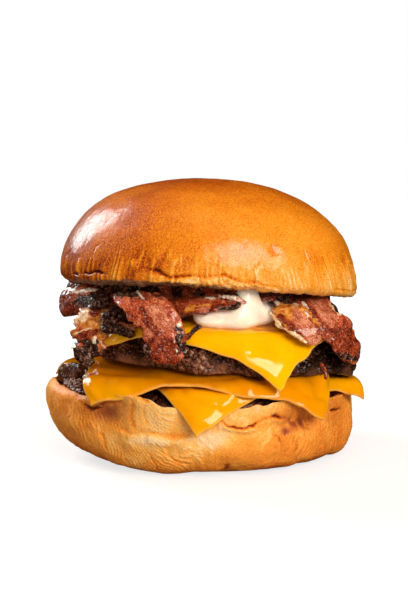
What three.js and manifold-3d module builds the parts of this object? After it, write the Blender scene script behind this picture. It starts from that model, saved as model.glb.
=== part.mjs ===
// A double cheeseburger with bacon: a brioche bun, two beef patties, three slices of melted cheese,
// rashers of bacon and a spoonful of sauce. Millimetres, +Z up, +X to the right, the open front at -Y.
// The origin is the middle of the flat spot that the burger rests on.
import * as THREE from 'three';
import { mergeVertices } from 'three/addons/utils/BufferGeometryUtils.js';
import Module from 'manifold-3d';

const GAP = 0.35; // air kept between pieces that touch
const TURN = 2 * Math.PI;

// Lower half of the bun.
const HEEL = {
  x: -0.3, halfWidth: 52.1, halfDepth: 50, restRadius: 30, widestZ: 20.5,
  rimZ: 23.6, rimRise: 3.7, pressed: 2.3, dishZ: 20.6, rimWidth: 9, rimSquare: 3,
  rimDip: 0.9, dipWidth: 1.2, squareLeft: 1.9, squareRight: 5.6, wrinkle: 0.45,
};
// Where the bands of its outline end, as shares of the way from the upper pole to the lower one.
const HEEL_BANDS = { dish: 0.25, rim: 0.5, side: 0.88 };
const HEEL_WRINKLED = [0.3, 0.86];

// Patties: height of the middle of each face, and how far each face falls from the middle to the edge.
// Neither face of a patty goes below what it rests on.
const LOWER_PATTY = {
  x: 0, y: 0, radius: 48.6, top: 30.2, bottom: 22.0, fallTop: 4.6, fallBottom: 0.6,
  leanTop: 0.012, leanBottom: 0.012, sag: 0, crag: 0.55, phase: 0.4, rests: () => 0,
};
const UPPER_PATTY = {
  x: 8.2, y: -0.6, radius: 46.0, top: 47.0, bottom: 36.2, fallTop: 3.5, fallBottom: 5.5,
  leanTop: 0.045, leanBottom: 0.05, sag: 6, crag: 0.6, phase: 2.1, rests: lowerStackTop,
};
const DOME_POWER = 2.2;
const PATTY_SPREAD = { above: 0.42, below: 0.3 }; // how the rings of a patty spread to its edge
const PATTY_FLANK = { above: 0.6, below: 0.27 }; // and how its flank is rounded

// Cheese: the four corners of each slice laid flat, how far its edges bow out (the front and the back,
// then the left, then the right), and how it folds over the patty that it lies on: where the fold
// starts and its radius, the direction in which it starts farther out, and how steeply the slice hangs
// in each direction. Directions are degrees from +X, followed by a value and a width. The ripples are
// places along the front edge that reach farther.
const SLICE = 2.2; // thickness
const SLICE_SIDE = 85;
const UNDER_SLICE = {
  front: [-0.8, -62.6], right: [58.8, -15.4], back: [20, 55], left: [-53.5, 15.5],
  foldRadius: 45.9, bendRadius: 4.5, farther: [-13, 6, 9.5], lift: GAP, bow: [-1.6, -1.6, -1.6],
  hang: [[-92, 62, 30], [-14, 70, 14], [70, 42, 25], [163, 46, 20]], hangElse: 58, ripples: [],
};
const OVER_SLICE = {
  front: [-36, -45.5], right: [43.6, -45.2], back: [41, 41], left: [-37, 39],
  foldRadius: 45.9, bendRadius: 4.5 + SLICE + GAP, farther: [0, 0, 1], lift: SLICE + 2.2 * GAP,
  bow: [2.4, 0.2, 0.2], hang: [[-130, 56, 26], [-45, 55, 16], [45, 40, 26], [137, 40, 20]], hangElse: 34,
  ripples: [[0.2, 2.8, 0.13], [0.68, 3.4, 0.17], [0.9, 1.4, 0.09]],
};
const UPPER_SLICE = {
  front: [28, -59.4], right: [54, 2], back: [-12, 48], left: [-43, -24],
  foldRadius: 41.5, bendRadius: 4.5, farther: [0, 0, 1], lift: GAP, bow: [1.2, 6, 1.2],
  hang: [[-73, 71, 34], [5, 30, 30], [115, 42, 30], [-154, 52, 30]], hangElse: 52, ripples: [],
};

// Upper half of the bun.
const CROWN = {
  x: 3.0, halfWidth: 49.8, halfDepth: 49.2, baseZ: 56.5, leanX: 0.04, leanY: 0.049, height: 36.2,
  squareLeft: 2.12, squareRight: 2.36, peakShift: -3.8, shiftFrom: 20, shiftOver: 40,
  lip: 3.2, hollow: 1.2, droop: 1.6, flare: 1.0, flareHeight: 12, crease: 0.9, creaseZ: 5, creaseWidth: 1.1,
};
const CROWN_BANDS = { dome: 0.8, lip: 0.9 };

// Sauce squeezed out over the front of the upper slice.
const SAUCE = { x: 11, y: -29, z: 49.8, halfWidth: 13.2, halfDepth: 14, halfHeight: 4.5, square: 0.65 };

// Bacon: points along the middle of each rasher, the way its face looks there, and its width. Inside
// the burger a rasher lies on the upper slice (layer 0) or on the rashers there (layer 1).
const RASHER = 2.5; // thickness
const RASHER_WIDTH = 12; // the narrowest usual width
const RASHER_CUP = 0.009; // how far the long edges curl, for each square millimetre from the middle
const RASHER_TIP = 0.08; // the share of its length over which each end narrows
const RASHER_RISE = 2.5 * GAP; // air under a rasher that lies on the slice
const RASHERS = {
  bacon_front: {
    layer: 0, wave: 0.6, waves: 5, tip: 0.9,
    route: [
      [-16, 51, 41, 0, 0.8, 0.6, 15],
      [-15, 43, 46.5, 0, 0.4, 0.9, 17],
      [-13, 24, 49, 0, 0, 1, 17],
      [-11, -2, 50.5, 0, 0, 1, 17],
      [-14, -24, 54.6, -0.1, 0, 1, 17],
      [-19.5, -38, 57, 0, -0.4, 0.9, 15],
      [-16.2, -45.6, 54, 0, -0.85, 0.5, 13],
      [-11.9, -48.4, 49.4, -0.1, -0.95, 0.3, 13],
      [-9.9, -49.6, 43.7, 0, -0.99, 0.1, 12.6],
      [-9.2, -49.8, 36.6, 0, -1, 0.02, 11.2],
    ],
  },
  bacon_right_wide: {
    layer: 0, wave: 0.7, waves: 5, tip: 0.8,
    route: [
      [43, 33, 38, 0.6, 0.6, 0.5, 14],
      [37, 27, 45, 0.3, 0.3, 0.9, 17],
      [34, 12, 47, 0.1, 0, 1, 18],
      [34, -6, 50.5, 0.1, 0, 1, 17],
      [33.5, -19, 54.4, 0.1, -0.3, 0.93, 14],
      [36, -26.5, 53.4, 0.3, -0.6, 0.75, 11.4],
      [39.2, -31, 48.9, 0.35, -0.75, 0.55, 11],
      [44.8, -32, 43.4, 0.4, -0.78, 0.5, 13],
      [48.4, -30, 39.6, 0.45, -0.75, 0.45, 12.5],
      [52, -27, 37, 0.45, -0.75, 0.45, 9],
    ],
  },
  bacon_middle: {
    layer: 0, wave: 0.5, waves: 3, tip: 0.6,
    route: [
      [13.2, -41, 55.3, 0.1, -0.62, 0.78, 6],
      [4, -39.9, 54.6, 0, -0.6, 0.8, 8],
      [-4, -38.6, 53.5, 0, -0.6, 0.8, 9.6],
      [-14, -36.2, 52.6, 0, -0.5, 0.86, 10],
    ],
  },
  bacon_right_fatty: {
    layer: 0, wave: 0.6, waves: 5, tip: 0.8,
    route: [
      [8, 51, 40, 0, 0.8, 0.6, 14],
      [8, 43, 46, 0, 0.5, 0.86, 15],
      [10, 24, 48, 0, 0, 1, 16],
      [16, -2, 49, 0, 0, 1, 14],
      [26, -23, 50, 0, -0.3, 0.95, 12],
      [28, -36, 53, 0.2, -0.75, 0.65, 10],
      [31, -41, 49.7, 0.25, -0.9, 0.4, 9.6],
      [34.8, -43, 45.9, 0.3, -0.94, 0.2, 9],
      [37.4, -42.6, 42.6, 0.3, -0.95, 0.05, 6],
    ],
  },
  bacon_left_curl: {
    layer: 1, wave: 0.3, waves: 3, tip: 0.95,
    route: [
      [-46.4, -13, 51.4, -0.45, -0.86, 0.2, 8.8],
      [-38.4, -20.5, 53.6, -0.45, -0.86, 0.25, 10],
      [-33, -24.6, 54.8, -0.4, -0.75, 0.55, 9],
      [-29, -23.6, 55, -0.2, -0.5, 0.85, 8],
    ],
  },
  bacon_left_fatty: {
    layer: 0, wave: 0.7, waves: 5, tip: 0.7,
    route: [
      [-36, 41, 37, -0.3, 0.8, 0.6, 14],
      [-33, 33, 44, 0, 0.4, 0.9, 16],
      [-31, 20, 47, -0.12, 0, 1, 17],
      [-29.5, -4, 48, -0.12, 0, 1, 16],
      [-29, -19, 50, -0.2, -0.2, 0.96, 13],
      [-33, -28, 49.4, -0.3, -0.75, 0.6, 12],
      [-35.3, -31, 46.4, -0.3, -0.9, 0.3, 12.5],
      [-34.9, -32, 41.6, -0.3, -0.94, 0.1, 11.5],
      [-36.2, -31.4, 34.6, -0.3, -0.95, 0.0, 6.5],
    ],
  },
  bacon_left_dark: {
    layer: 0, wave: 0.6, waves: 3, tip: 0.5,
    route: [
      [-17, -16, 50, 0, 0, 1, 10],
      [-22, -28, 51.6, 0, -0.5, 0.86, 11],
      [-24.6, -35, 49.2, -0.1, -0.9, 0.4, 13],
      [-25.4, -37.4, 44.4, -0.1, -0.95, 0.2, 10],
    ],
  },
  bacon_back: {
    layer: 1.3, wave: 0.35, waves: 5, tip: 0.8,
    route: [
      [-47, 19, 45.5, -0.8, 0.2, 0.5, 13],
      [-39, 21, 51.6, -0.4, 0.2, 0.9, 16],
      [-20, 24, 53.8, 0, 0.2, 0.97, 18],
      [2, 25, 53.4, 0, 0.24, 0.97, 19],
      [24, 23, 52.4, 0.1, 0.2, 0.97, 18],
      [41, 17, 50.6, 0.4, 0.2, 0.9, 15],
      [49, 12, 45.5, 0.8, 0.2, 0.5, 11],
    ],
  },
};

// ---- Shapes ----------------------------------------------------------------------------------------

const wasm = await Module();
wasm.setup();

const mix = (a, b, t) => a + (b - a) * t;
const clamp01 = (t) => Math.min(1, Math.max(0, t));
const bell = (t, width) => Math.exp(-((t / width) ** 2));
const radians = THREE.MathUtils.degToRad;

// The shortest way round from one angle to another, in degrees.
function degreesBetween(a, b) {
  return THREE.MathUtils.euclideanModulo(a - b + 180, 360) - 180;
}

function meshOf(positions, indices) {
  const geometry = new THREE.BufferGeometry();
  geometry.setAttribute('position', new THREE.Float32BufferAttribute(positions.flat(), 3));
  geometry.setIndex(indices);
  return geometry;
}

// A closed skin between two poles: point(0) is the upper pole, point(1) the lower one, and the rings
// between them run anticlockwise seen from above.
function poleSkin(rings, segments, point) {
  const positions = [point(0, 0)];
  for (let i = 1; i < rings; i++) {
    for (let j = 0; j < segments; j++) positions.push(point(i / rings, (j / segments) * TURN));
  }
  positions.push(point(1, 0));
  const at = (i, j) => 1 + (i - 1) * segments + (j % segments);
  const last = positions.length - 1;
  const indices = [];
  for (let j = 0; j < segments; j++) {
    indices.push(0, at(1, j), at(1, j + 1));
    indices.push(at(rings - 1, j), last, at(rings - 1, j + 1));
    for (let i = 1; i < rings - 1; i++) {
      indices.push(at(i, j), at(i + 1, j), at(i + 1, j + 1));
      indices.push(at(i, j), at(i + 1, j + 1), at(i, j + 1));
    }
  }
  return meshOf(positions, indices);
}

// A thin sheet: face(u, v) is the middle of its thickness, and both faces are split alike. With a
// margin it reaches that far past its edges, as a share of its length and width.
function sheet(countU, countV, thickness, face, margin, crowd = 0) {
  const spread = (t) => mix(t, 0.5 - 0.5 * Math.cos(Math.PI * t), crowd);
  const step = 1e-3;
  const front = [];
  const rear = [];
  for (let i = 0; i <= countU; i++) {
    for (let j = 0; j <= countV; j++) {
      const u = mix(-margin[0], 1 + margin[0], spread(i / countU));
      const v = mix(-margin[1], 1 + margin[1], spread(j / countV));
      const du = u > 0.5 ? -step : step;
      const dv = v > 0.5 ? -step : step;
      const middle = face(u, v);
      const alongU = face(u + du, v).sub(middle).multiplyScalar(Math.sign(du));
      const alongV = face(u, v + dv).sub(middle).multiplyScalar(Math.sign(dv));
      const normal = alongU.cross(alongV).normalize().multiplyScalar(thickness / 2);
      front.push(middle.clone().add(normal).toArray());
      rear.push(middle.clone().sub(normal).toArray());
    }
  }
  const across = countV + 1;
  const half = front.length;
  const at = (i, j) => i * across + j;
  const indices = [];
  for (let i = 0; i < countU; i++) {
    for (let j = 0; j < countV; j++) {
      const [a, b, c, d] = [at(i, j), at(i + 1, j), at(i + 1, j + 1), at(i, j + 1)];
      indices.push(a, b, c, a, c, d);
      indices.push(half + a, half + c, half + b, half + a, half + d, half + c);
    }
  }
  const wall = (a, b) => indices.push(a, half + a, half + b, a, half + b, b);
  for (let i = 0; i < countU; i++) {
    wall(at(i, 0), at(i + 1, 0));
    wall(at(i + 1, countV), at(i, countV));
  }
  for (let j = 0; j < countV; j++) {
    wall(at(0, j + 1), at(0, j));
    wall(at(countU, j), at(countU, j + 1));
  }
  return meshOf([...front, ...rear], indices);
}

function solidOf(geometry) {
  const welded = mergeVertices(geometry);
  return new wasm.Manifold(new wasm.Mesh({
    numProp: 3,
    vertProperties: new Float32Array(welded.attributes.position.array),
    triVerts: new Uint32Array(welded.index.array),
  }));
}

function geometryOf(solid) {
  const mesh = solid.getMesh();
  const geometry = new THREE.BufferGeometry();
  geometry.setAttribute('position', new THREE.BufferAttribute(mesh.vertProperties, 3));
  geometry.setIndex(new THREE.BufferAttribute(mesh.triVerts, 1));
  return geometry;
}

// The same rounded mesh with every vertex moved out along its normal.
function swollen(geometry, distance) {
  const fat = geometry.clone();
  fat.computeVertexNormals();
  const { position, normal } = fat.attributes;
  for (let i = 0; i < position.count; i++) {
    position.setXYZ(
      i,
      position.getX(i) + normal.getX(i) * distance,
      position.getY(i) + normal.getY(i) * distance,
      position.getZ(i) + normal.getZ(i) * distance,
    );
  }
  fat.deleteAttribute('normal');
  return fat;
}

// A piece with the room that its neighbours need cut out of it; any loose scrap is dropped.
function clearOf(geometry, rooms) {
  let solid = solidOf(geometry);
  for (const room of rooms) solid = solid.subtract(room);
  const pieces = solid.decompose().sort((a, b) => b.volume() - a.volume());
  return geometryOf(pieces[0]);
}

// ---- Bun -------------------------------------------------------------------------------------------

// A value that goes from its left-hand to its right-hand amount round the bun.
function sideways(angle, left, right) {
  return mix(left, right, 0.5 + 0.5 * Math.cos(angle));
}

// The heel's rim stands higher at the left, except where the corner of a slice presses it down.
function heelRim(angle) {
  const left = Math.max(0, Math.cos(angle - radians(190))) ** 2;
  const pressed = bell(degreesBetween(THREE.MathUtils.radToDeg(angle), 163), 13);
  return HEEL.rimZ + HEEL.rimRise * left - HEEL.pressed * pressed;
}

// Folds pressed into the heel's crust: angle and height of each, in degrees and millimetres.
const HEEL_FOLDS = [
  { angle: -122, z: 16.5, depth: 1.5, wide: 14, high: 2.2, slope: -0.05 },
  { angle: -62, z: 15.5, depth: 1.3, wide: 16, high: 1.8, slope: 0.1 },
  { angle: -52, z: 15.0, depth: 2.0, wide: 6, high: 3.0, slope: 0.2 },
  { angle: -75, z: 2.5, depth: 1.0, wide: 4, high: 3.0, slope: 0 },
  { angle: 95, z: 14.5, depth: 1.1, wide: 18, high: 2.2, slope: 0.08 },
  { angle: 20, z: 13.5, depth: 0.9, wide: 10, high: 2.2, slope: -0.1 },
];

function heelRelief(angle, z) {
  const degrees = THREE.MathUtils.radToDeg(angle);
  let depth = 0;
  for (const fold of HEEL_FOLDS) {
    const along = degreesBetween(degrees, fold.angle);
    const crease = z - fold.z - fold.slope * along;
    depth += fold.depth * bell(along, fold.wide) * bell(crease, fold.high);
  }
  const pleats = Math.sin(23 * angle + 1.3 * Math.sin(3 * angle)) * Math.sin((Math.PI * z) / HEEL.rimZ);
  return HEEL.wrinkle * pleats * 0.5 - depth;
}

function heelPoint(v, angle) {
  const outline = 1 + 0.006 * Math.cos(3 * angle + 1) + 0.005 * Math.cos(5 * angle);
  const outer = outline * (HEEL.halfWidth * HEEL.halfDepth)
    / Math.hypot(HEEL.halfDepth * Math.cos(angle), HEEL.halfWidth * Math.sin(angle));
  const square = sideways(angle, HEEL.squareLeft, HEEL.squareRight);
  const rim = heelRim(angle);
  const start = outer - HEEL.rimWidth;
  const share = (from, to) => (v - from) / (to - from);
  let r;
  let z;
  if (v < HEEL_BANDS.dish) {
    const t = share(0, HEEL_BANDS.dish);
    r = start * t;
    z = mix(HEEL.dishZ, rim - HEEL.rimDip, t ** 6);
  } else if (v < HEEL_BANDS.rim) {
    const t = share(HEEL_BANDS.dish, HEEL_BANDS.rim) * (Math.PI / 2);
    r = start + (outer - start) * Math.sin(t) ** (2 / HEEL.rimSquare);
    z = mix(HEEL.widestZ, rim, Math.cos(t) ** (2 / HEEL.rimSquare));
    z -= HEEL.rimDip * bell(r - start, HEEL.dipWidth);
  } else if (v < HEEL_BANDS.side) {
    const t = share(HEEL_BANDS.rim, HEEL_BANDS.side) * (Math.PI / 2);
    r = HEEL.restRadius + (outer - HEEL.restRadius) * Math.cos(t) ** (2 / square);
    z = HEEL.widestZ * (1 - Math.sin(t) ** (2 / square));
  } else {
    r = HEEL.restRadius * (1 - share(HEEL_BANDS.side, 1));
    z = 0;
  }
  if (v > HEEL_WRINKLED[0] && v < HEEL_WRINKLED[1]) r += heelRelief(angle, z);
  const x = HEEL.x + r * Math.cos(angle);
  const y = r * Math.sin(angle);
  if (v < HEEL_BANDS.rim) z = Math.min(z, pattyUnderside(LOWER_PATTY, x, y) - 2 * GAP);
  return [x, y, z];
}

// The crown stands on a plane that leans to the right, droops at its right-hand edge and rises to
// the front.
function crownBase(x, y) {
  const edge = Math.max(0, x - CROWN.x) / CROWN.halfWidth;
  return CROWN.baseZ - CROWN.leanX * (x - CROWN.x) - CROWN.leanY * y - CROWN.droop * edge ** 3;
}

function crownPoint(v, angle) {
  const outline = 1 + 0.006 * Math.cos(2 * angle + 0.8) + 0.006 * Math.cos(5 * angle + 2);
  const outer = outline * (CROWN.halfWidth * CROWN.halfDepth)
    / Math.hypot(CROWN.halfDepth * Math.cos(angle), CROWN.halfWidth * Math.sin(angle));
  let r;
  let up;
  if (v < CROWN_BANDS.dome) {
    const t = (v / CROWN_BANDS.dome) * (Math.PI / 2);
    const square = sideways(angle, CROWN.squareLeft, CROWN.squareRight);
    r = outer * Math.sin(t) ** (2 / square);
    up = CROWN.lip + (CROWN.height - CROWN.lip) * Math.cos(t) ** (2 / square);
  } else if (v < CROWN_BANDS.lip) {
    const t = ((v - CROWN_BANDS.dome) / (CROWN_BANDS.lip - CROWN_BANDS.dome)) * (Math.PI / 2);
    r = outer - CROWN.lip * (1 - Math.cos(t));
    up = CROWN.lip * (1 - Math.sin(t));
  } else {
    const t = (v - CROWN_BANDS.lip) / (1 - CROWN_BANDS.lip);
    r = (outer - CROWN.lip) * (1 - t);
    up = CROWN.hollow * Math.sin(t * Math.PI / 2) ** 0.5;
  }
  const flare = CROWN.flare * Math.max(0, Math.cos(angle)) * clamp01(1 - up / CROWN.flareHeight);
  const shift = CROWN.peakShift * clamp01((up - CROWN.shiftFrom) / CROWN.shiftOver);
  const x = CROWN.x + (r + flare) * Math.cos(angle) + shift;
  const y = r * Math.sin(angle);
  const fromCrease = up - CROWN.creaseZ - 2 * Math.sin(2.2 * angle);
  const crease = v < CROWN_BANDS.dome ? CROWN.crease * bell(fromCrease, CROWN.creaseWidth) : 0;
  const inward = 1 - crease / outer;
  return [CROWN.x + (x - CROWN.x) * inward, y * inward, crownBase(x, y) + up];
}

// ---- Patties ---------------------------------------------------------------------------------------

// Height of one face of a patty, carried on past its edge so that a slice can lie on it. The face
// leans to the right, domes down to its edge, and sags at the left-hand and right-hand ends.
function pattyFace(patty, x, y, middle, fall, lean) {
  const share = Math.hypot(x - patty.x, y - patty.y) / patty.radius;
  const end = Math.abs(x - patty.x) / patty.radius;
  return middle - lean * (x - patty.x) - fall * share ** DOME_POWER - patty.sag * end ** 3;
}

const pattyTop = (patty, x, y) => pattyFace(patty, x, y, patty.top, patty.fallTop, patty.leanTop);
const pattyBottom = (patty, x, y) => (
  pattyFace(patty, x, y, patty.bottom, patty.fallBottom, patty.leanBottom));

// The top of the two slices on the lower patty, which turn down past the fold.
function lowerStackTop(x, y) {
  const over = Math.max(0, Math.hypot(x, y) - OVER_SLICE.foldRadius);
  return pattyTop(LOWER_PATTY, x, y) + 2 * SLICE + 3.3 * GAP
    - 0.5 * over ** 2 / (OVER_SLICE.bendRadius + 1);
}

// How high the underside of a patty is over a point, out to its rounded edge.
function pattyUnderside(patty, x, y) {
  const share = Math.hypot(x - patty.x, y - patty.y) / (patty.radius + 2.5 * patty.crag);
  if (share >= 1) return Infinity;
  const round = Math.sqrt(1 - share ** (2 / PATTY_SPREAD.below)) ** PATTY_FLANK.below;
  return mix(pattyBottom(patty, x, y), pattyTop(patty, x, y), 0.5 - 0.5 * round);
}

function pattyPoint(patty, v, angle) {
  const t = v * Math.PI;
  const edge = Math.sin(t) ** 2;
  const crags = Math.sin(5 * angle + patty.phase) + 0.8 * Math.sin(9 * angle + 2.3 * patty.phase)
    + 0.7 * Math.sin(14 * angle + 3 * Math.cos(t) + patty.phase);
  const half = t < Math.PI / 2 ? 'above' : 'below';
  const r = (patty.radius - 1.2) * Math.sin(t) ** PATTY_SPREAD[half] + patty.crag * crags * edge;
  const x = patty.x + r * Math.cos(angle);
  const y = patty.y + r * Math.sin(angle);
  const top = pattyTop(patty, x, y);
  const bottom = Math.max(pattyBottom(patty, x, y), patty.rests(x, y));
  const share = Math.sign(Math.cos(t)) * Math.abs(Math.cos(t)) ** PATTY_FLANK[half];
  return [x, y, mix(bottom, top, 0.5 + 0.5 * share)];
}

// ---- Cheese ----------------------------------------------------------------------------------------

// How steeply a slice hangs in each direction, in radians; each corner has its own angle.
function hangAngle(slice, angle) {
  const degrees = THREE.MathUtils.radToDeg(angle);
  let steep = slice.hangElse;
  for (const [corner, hang, wide] of slice.hang) {
    steep += (hang - slice.hangElse) * bell(degreesBetween(degrees, corner), wide);
  }
  return radians(steep);
}

// A slice laid over a patty: it follows the top as far as the fold, bends over the edge and hangs.
function slicePoint(slice, patty, u, v) {
  const [bowFront, bowLeft, bowRight] = slice.bow;
  let bowU = bowFront * 4 * u * (1 - u) * (2 * v - 1);
  const bowV = mix(bowLeft, bowRight, u) * 4 * v * (1 - v) * (2 * u - 1);
  for (const [place, reach, wide] of slice.ripples) {
    bowU -= reach * bell(u - place, wide) * clamp01(1 - 2 * v);
  }
  const corner = (axis) => mix(
    mix(slice.front[axis], slice.right[axis], u),
    mix(slice.left[axis], slice.back[axis], u),
    v,
  );
  const flatX = corner(0) + bowV - patty.x;
  const flatY = corner(1) + bowU - patty.y;
  const angle = Math.atan2(flatY, flatX);
  const flat = Math.hypot(flatX, flatY);
  const [direction, farther, wide] = slice.farther;
  const fold = slice.foldRadius
    + farther * bell(degreesBetween(THREE.MathUtils.radToDeg(angle), direction), wide);
  const bend = slice.bendRadius;
  const rest = Math.min(flat, fold);
  const over = flat - rest;
  const steep = hangAngle(slice, angle);
  const turned = Math.min(over / bend, steep);
  const straight = over - turned * bend;
  const r = rest + bend * Math.sin(turned) + straight * Math.cos(steep);
  const fall = bend * (1 - Math.cos(turned)) + straight * Math.sin(steep);
  const x = patty.x + r * Math.cos(angle);
  const y = patty.y + r * Math.sin(angle);
  const under = pattyTop(patty, patty.x + rest * Math.cos(angle), patty.y + rest * Math.sin(angle));
  return new THREE.Vector3(x, y, under + slice.lift + SLICE / 2 - fall);
}

// ---- Bacon -----------------------------------------------------------------------------------------

// A rasher: a wavy ribbon carried along its route, with a rounded tip at each end.
function rasherPoint(rasher, curves, u, v) {
  const t = clamp01(u);
  const tangent = curves.route.getTangent(t);
  const along = curves.route.getPoint(t).addScaledVector(tangent, (u - t) * curves.length);
  const look = curves.look.getPoint(t);
  const across = tangent.clone().cross(look).normalize();
  const face = across.clone().cross(tangent).normalize();
  const end = Math.min(t, 1 - t) / RASHER_TIP;
  const taper = mix(1 - rasher.tip, 1, Math.sqrt(clamp01(end * (2 - Math.min(end, 1)))));
  const side = (v - 0.5) * curves.width.getPoint(t).x * taper;
  const wave = rasher.wave * Math.sin(rasher.waves * TURN * t + 2.2 * v) * (v - 0.5) * 2
    * Math.sin(Math.PI * t);
  const cup = RASHER_CUP * side * side;
  const point = along.addScaledVector(across, side).addScaledVector(face, wave - cup);
  if (Math.hypot(point.x - UPPER_PATTY.x, point.y) < UPPER_SLICE.foldRadius) {
    const lies = pattyTop(UPPER_PATTY, point.x, point.y) + SLICE + RASHER / 2 + RASHER_RISE;
    point.z = Math.max(point.z, lies + rasher.layer * (RASHER + GAP));
  }
  return point;
}

function rasherSolid(rasher, extra = 0) {
  const vectors = rasher.route.map((stop) => new THREE.Vector3(...stop));
  const looks = rasher.route.map((stop) => new THREE.Vector3(...stop.slice(3, 6)).normalize());
  const widths = rasher.route.map((stop) => new THREE.Vector3(stop[6], 0, 0));
  const curves = {
    route: new THREE.CatmullRomCurve3(vectors, false, 'centripetal'),
    look: new THREE.CatmullRomCurve3(looks),
    width: new THREE.CatmullRomCurve3(widths),
  };
  curves.length = curves.route.getLength();
  const margin = [extra / curves.length, extra / RASHER_WIDTH];
  const face = (u, v) => rasherPoint(rasher, curves, u, v);
  return sheet(rasher.route.length * 3, 4, RASHER + 2 * extra, face, margin);
}

// ---- Sauce -----------------------------------------------------------------------------------------

function saucePoint(v, angle) {
  const t = v * Math.PI;
  const flat = Math.sin(t) ** SAUCE.square;
  const lobes = 1 + 0.08 * Math.cos(3 * angle + 0.6) + 0.05 * Math.cos(5 * angle);
  return [
    SAUCE.x + SAUCE.halfWidth * lobes * flat * Math.cos(angle),
    SAUCE.y + SAUCE.halfDepth * lobes * flat * Math.sin(angle),
    SAUCE.z + SAUCE.halfHeight * Math.cos(t) + 0.8 * Math.cos(2 * angle) * flat,
  ];
}

// ---- The burger ------------------------------------------------------------------------------------

const MATERIALS = {
  heel: { color: 0xe0a055, roughness: 0.6 },
  crown: { color: 0xd97a1c, roughness: 0.35 },
  patty: { color: 0x5b3525, roughness: 0.6 },
  cheese: { color: 0xf6a90c, roughness: 0.35 },
  bacon: { color: 0x9c4128, roughness: 0.4 },
  sauce: { color: 0xfbe8c6, roughness: 0.3 },
};

const burger = new THREE.Group();

function add(name, geometry, finish) {
  const mesh = new THREE.Mesh(geometry, new THREE.MeshStandardMaterial({ metalness: 0, ...finish }));
  mesh.name = name;
  burger.add(mesh);
  return geometry;
}

function sliceSolid(slice, patty, extra = 0) {
  const margin = extra / SLICE_SIDE;
  const face = (u, v) => slicePoint(slice, patty, u, v);
  return sheet(15, 15, SLICE + 2 * extra, face, [margin, margin], 0.7);
}

const pattySolid = (patty) => poleSkin(11, 40, (v, angle) => pattyPoint(patty, v, angle));

add('bun_heel', poleSkin(20, 56, heelPoint), MATERIALS.heel);
add('patty_lower', pattySolid(LOWER_PATTY), MATERIALS.patty);
add('cheese_lower_under', sliceSolid(UNDER_SLICE, LOWER_PATTY), MATERIALS.cheese);
add('cheese_lower_over', sliceSolid(OVER_SLICE, LOWER_PATTY), MATERIALS.cheese);
add('patty_upper', pattySolid(UPPER_PATTY), MATERIALS.patty);
add('cheese_upper', sliceSolid(UPPER_SLICE, UPPER_PATTY), MATERIALS.cheese);

const crown = add('bun_crown', poleSkin(22, 50, crownPoint), MATERIALS.crown);

// The sauce and the rashers fill the space between the upper slice and the crown.
const rooms = [solidOf(sliceSolid(UPPER_SLICE, UPPER_PATTY, GAP)), solidOf(swollen(crown, GAP))];
const sauce = poleSkin(10, 24, saucePoint);
add('sauce', clearOf(sauce, rooms), MATERIALS.sauce);
rooms.push(solidOf(swollen(sauce, GAP)));
for (const [name, rasher] of Object.entries(RASHERS)) {
  add(name, clearOf(rasherSolid(rasher), rooms), MATERIALS.bacon);
  rooms.push(solidOf(rasherSolid(rasher, GAP)));
}

export default burger;
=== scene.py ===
"""A double cheeseburger with bacon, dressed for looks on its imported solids.

Shapes are worked out in millimetres, +Z up, with the open front at -Y and +X to the right, and are
turned to metres when a piece is made. Every piece is a surface on a grid, worked out as whole arrays.
"""

import math

import bpy
import numpy as np
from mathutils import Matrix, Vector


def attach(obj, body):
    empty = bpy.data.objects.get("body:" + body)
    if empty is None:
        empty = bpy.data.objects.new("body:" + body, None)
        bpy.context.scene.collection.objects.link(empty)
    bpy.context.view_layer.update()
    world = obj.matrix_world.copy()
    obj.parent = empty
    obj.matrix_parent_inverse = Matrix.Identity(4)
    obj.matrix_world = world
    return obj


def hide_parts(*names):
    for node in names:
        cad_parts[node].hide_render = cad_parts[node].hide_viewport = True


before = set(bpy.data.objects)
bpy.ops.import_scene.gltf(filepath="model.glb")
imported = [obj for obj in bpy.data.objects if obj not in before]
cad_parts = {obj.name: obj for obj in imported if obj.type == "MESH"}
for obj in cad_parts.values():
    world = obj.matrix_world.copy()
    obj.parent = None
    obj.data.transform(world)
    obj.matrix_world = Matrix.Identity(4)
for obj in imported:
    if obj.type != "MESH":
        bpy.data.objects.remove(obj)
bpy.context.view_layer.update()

MM = 0.001
GAP = 0.35  # air that the solids keep between pieces that touch

# ---- Small helpers ---------------------------------------------------------------------------------


def mix(a, b, share):
    """a at share 0 and b at share 1, straight in between."""
    return a + (b - a) * share


def clamp01(x):
    """x held between 0 and 1."""
    return np.clip(x, 0.0, 1.0)


def bell(x, width):
    """exp(-(x/width)^2): 1 at the middle, fading out over a width."""
    return np.exp(-((x / width) ** 2))


def from_ends(x):
    """How far a share is from the nearer of 0 and 1."""
    return np.minimum(x, 1 - x)


def step(low, high, x):
    """0 below low, 1 above high, smooth in between."""
    t = clamp01((x - low) / (high - low))
    return t * t * (3 - 2 * t)


def degrees_between(a, b):
    """The signed turn from b to a, from -180 to 180."""
    return np.mod(a - b + 540, 360) - 180


def wave(x):
    """A cosine wave between 0 and 1, with a crest at each whole number."""
    return 0.5 + 0.5 * np.cos(2 * math.pi * x)


def power(x, exponent):
    """x to a power, with rounding errors below 0 held at 0."""
    return np.maximum(x, 0.0) ** exponent


# ---- Grain -----------------------------------------------------------------------------------------


def drawn(ix, iy, iz, seed):
    """A fixed random share from 0 to 1 for each whole-number cell: its three numbers are multiplied by
    large odd ones, added, and the bits stirred."""
    h = (
        ix.astype(np.uint32) * np.uint32(374761393)
        + iy.astype(np.uint32) * np.uint32(668265263)
        + iz.astype(np.uint32) * np.uint32(2246822519)
        + np.uint32((seed * 3266489917 + 97) % 2**32)
    )
    h = (h ^ (h >> np.uint32(13))) * np.uint32(1274126177)
    h = (h ^ (h >> np.uint32(15))) * np.uint32(2654435761)
    return (h ^ (h >> np.uint32(16))).astype(np.float64) / 2**32


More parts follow.
